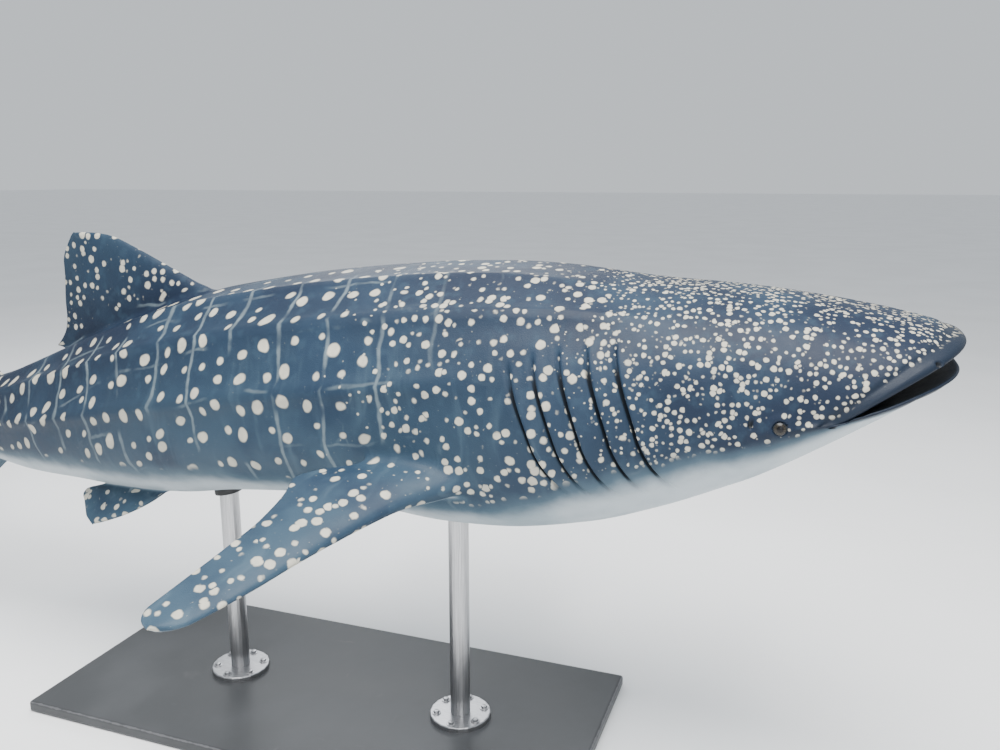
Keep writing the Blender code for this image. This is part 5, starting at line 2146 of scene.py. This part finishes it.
@dataclass
class Eyes:
    """Two eyeballs, each in its socket."""

    form: Form = Form()
    radius: float = 0.0307
    sunk: float = 0.021
    cornea: float = 0.0012
    cornea_turn: float = 0.5
    segments: int = 56
    rings: int = 36

    def build(self, socket: Opening, finish: EyeFinish) -> None:
        """Build and dress both eyes.

        Args:
            socket: The eyes' opening in the skin.
            finish: Finish of the eyes.
        """
        material = finish.make()
        for word, side in BOTH_SIDES:
            bm = bmesh.new()
            bmesh.ops.create_uvsphere(
                bm, u_segments=self.segments, v_segments=self.rings, radius=self.radius
            )
            turn_of, ray_of = (bm.verts.layers.float.new(name) for name in ("eye_turn", "eye_ray"))
            for vert in bm.verts:
                turn = math.acos(max(-1.0, min(1.0, vert.co.z / self.radius)))
                vert[turn_of] = turn / math.pi
                vert[ray_of] = abs(math.atan2(vert.co.y, vert.co.x)) / math.pi
                bulge = math.exp(-((turn / self.cornea_turn) ** 2))
                vert.co *= 1.0 + self.cornea / self.radius * bulge
            sunk = Matrix.Translation((0.0, 0.0, -self.sunk))
            place = socket.frame_on(self.form, side) @ sunk
            bmesh.ops.transform(bm, matrix=place, verts=bm.verts)
            piece = add_piece(f"eyeball_{word}", bm, material)
            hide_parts(f"eye_{word}")


@dataclass
class Stand:
    """Fastenings and collars of the stand, and finishes of its solids."""

    bolts: int = 6
    bolt_circle: float = 0.102
    bolt_twist: float = 0.35
    # Washer and bolt head: sides, radius, height of the foot, height and rounding of the edges
    fastening: tuple[tuple[int, float, float, float, float], ...] = (
        (32, 0.0185, 0.0, 0.0025, 0.0005), (6, 0.0125, 0.0025, 0.0095, 0.0012),
    )
    collar_inner: float = 0.0425
    collar_outer: float = 0.062
    collar_height: float = 0.040
    collar_squareness: float = 0.45
    collar_gap: float = 0.0006
    collar_sides: int = 20
    collar_steps: int = 56
    rod_brushing: Triple = (420.0, 420.0, 7.0)
    flange_brushing: Triple = (40.0, 600.0, 600.0)

    def dress(self, paint: PaintFinish, steel: SteelFinish) -> Any:
        """Give the stand's solids their finishes.

        Args:
            paint: Finish of the base.
            steel: Finish of the rods and flanges.

        Returns:
            The flanges' steel.
        """
        _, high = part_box("stand_base")
        materials = {
            "stand_base": paint.make((high.x, high.y), high.z),
            "stand_rod": steel.make("stand_rod_steel", self.rod_brushing),
            "stand_flange": steel.make("stand_flange_steel", self.flange_brushing),
        }
        for kind, material in materials.items():
            for name, node in frame["nodes"].items():
                if name.startswith(kind):
                    for index in range(len(node.data.materials)):
                        node.data.materials[index] = material
                    if not node.data.materials:
                        node.data.materials.append(material)
                    log.info("%s dressed", name)
        return materials["stand_flange"]

    def fasten(self, word: str, material: Any) -> None:
        """Bolt a flange down.

        Args:
            word: Which rod the flange carries.
            material: Steel of the bolts.
        """
        low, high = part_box(f"stand_flange_{word}")
        centre = (low + high) * 0.5
        bm = bmesh.new()
        for step in range(self.bolts):
            turn = 2.0 * math.pi * (step + 0.5) / self.bolts
            across = Vector((math.cos(turn), math.sin(turn), 0.0)) * self.bolt_circle
            foot = Vector((centre.x, centre.y, high.z)) + across
            for sides, radius, bottom, height, rounding in self.fastening:
                place = Matrix.Translation(foot + Vector((0.0, 0.0, bottom + 0.5 * height)))
                made = bmesh.ops.create_cone(
                    bm, cap_ends=True, segments=sides, radius1=radius, radius2=radius,
                    depth=height, matrix=place @ Matrix.Rotation(self.bolt_twist * step, 4, "Z"),
                )["verts"]
                edges = dict.fromkeys(edge for vert in made for edge in vert.link_edges)
                bmesh.ops.bevel(
                    bm, geom=list(edges), offset=rounding, segments=2, profile=0.5,
                    affect="EDGES", material=-1,
                )
        add_piece(f"flange_bolts_{word}", bm, material, smooth_angle=30.0)

    def collar(self, word: str, skin: Any, material: Any) -> None:
        """Fit a soft collar round the top of a rod, up against the belly.

        Args:
            word: Which rod it goes round.
            skin: Search tree of the skin.
            material: Rubber of the collar.
        """
        low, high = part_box(f"stand_rod_{word}")
        centre = (low + high) * 0.5
        middle = 0.5 * (self.collar_inner + self.collar_outer)
        half = 0.5 * (self.collar_outer - self.collar_inner)
        bm = bmesh.new()
        upright = Matrix.Translation((middle, 0.0, 0.0)) @ Matrix.Rotation(0.5 * math.pi, 4, "X")
        bmesh.ops.create_circle(bm, segments=self.collar_sides, radius=half, matrix=upright)
        bmesh.ops.spin(
            bm, geom=bm.verts[:] + bm.edges[:], cent=(0, 0, 0), axis=(0, 0, 1),
            angle=2 * math.pi, steps=self.collar_steps, use_merge=True,
        )
        bmesh.ops.remove_doubles(bm, verts=bm.verts, dist=1e-6)
        for vert in bm.verts:
            share = vert.co.z / half
            square = math.copysign(min(1.0, abs(share) ** self.collar_squareness), share)
            foot = Vector((centre.x + vert.co.x, centre.y + vert.co.y, low.z))
            hit = skin.ray_cast(foot, Vector((0.0, 0.0, 1.0)))[0]
            top = (hit.z if hit else high.z) - self.collar_gap
            vert.co = (foot.x, foot.y, top - 0.5 * self.collar_height * (1.0 - square))
        bmesh.ops.recalc_face_normals(bm, faces=bm.faces)
        add_piece(f"rod_collar_{word}", bm, material, smooth_angle=60.0)


@dataclass(frozen=True)
class Lamp:
    """A soft square light: its place and side in metres, its turns in degrees, and its watts."""

    name: str
    place: Triple
    turn: Triple
    side: float
    power: float
    colour: Triple

    def hang(self) -> None:
        """Hang the light."""
        light = bpy.data.lights.new(self.name, "AREA")
        light.size, light.energy, light.color = self.side, self.power, self.colour
        hung = add_object(self.name, light)
        hung.location = self.place
        hung.rotation_euler = tuple(math.radians(turn) for turn in self.turn)


@dataclass
class Studio:
    """Floor, soft lights and camera."""

    floor_half: float = 120.0
    lens: float = 32.4
    sight: float = 500.0
    camera_place: Triple = (1.9472, -3.1652, 2.2945)
    camera_turn: Triple = (77.5, 0.0, 20.0)
    sky: Colour = (0.86, 0.91, 0.96, 1.0)
    sky_strength: float = 0.82
    lamps: tuple[Lamp, ...] = (
        Lamp("key", (1.5, -2.5, 7.5), (18.0, 8.0, 0.0), 6.0, 1700.0, (1.0, 0.985, 0.96)),
        Lamp("fill", (4.5, -8.0, 3.0), (70.0, 0.0, 28.0), 5.0, 160.0, (0.92, 0.96, 1.0)),
        Lamp("rim", (-3.0, 6.0, 6.0), (-50.0, -10.0, 0.0), 5.0, 300.0, (0.94, 0.97, 1.0)),
    )

    def build(self, finish: FloorFinish) -> None:
        """Build the floor, the lights and the camera.

        Args:
            finish: Finish of the floor.
        """
        bm = bmesh.new()
        bmesh.ops.create_grid(bm, x_segments=4, y_segments=4, size=self.floor_half)
        add_mesh("floor", bm, finish.make())
        world = bpy.data.worlds.new("studio")
        world.use_nodes = True
        background = world.node_tree.nodes["Background"]
        background.inputs["Color"].default_value = self.sky
        background.inputs["Strength"].default_value = self.sky_strength
        bpy.context.scene.world = world
        for lamp in self.lamps:
            lamp.hang()
        lens = bpy.data.cameras.new("camera")
        lens.lens, lens.clip_end = self.lens, self.sight
        camera = add_object("camera", lens)
        camera.location = self.camera_place
        camera.rotation_euler = tuple(math.radians(turn) for turn in self.camera_turn)
        bpy.context.scene.camera = camera


def main() -> None:
    """Build and dress the animal, the stand and the studio, in this order."""
    logging.basicConfig(level=logging.INFO)
    skin = Skin()
    bm = skin.build()
    tree = BVHTree.FromBMesh(bm)
    piece = add_piece("shark_skin", bm, HideFinish().make())
    flesh = [name for name in frame["nodes"] if not name.startswith(("stand_", "eye_"))]
    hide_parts(*flesh)
    Eyes().build(skin.openings()[0], EyeFinish())
    stand = Stand()
    steel = stand.dress(PaintFinish(), SteelFinish())
    rubber = RubberFinish().make()
    for word in ("front", "rear"):
        stand.fasten(word, steel)
        stand.collar(word, tree, rubber)
    Studio().build(FloorFinish())


if __name__ == "__main__":
    main()
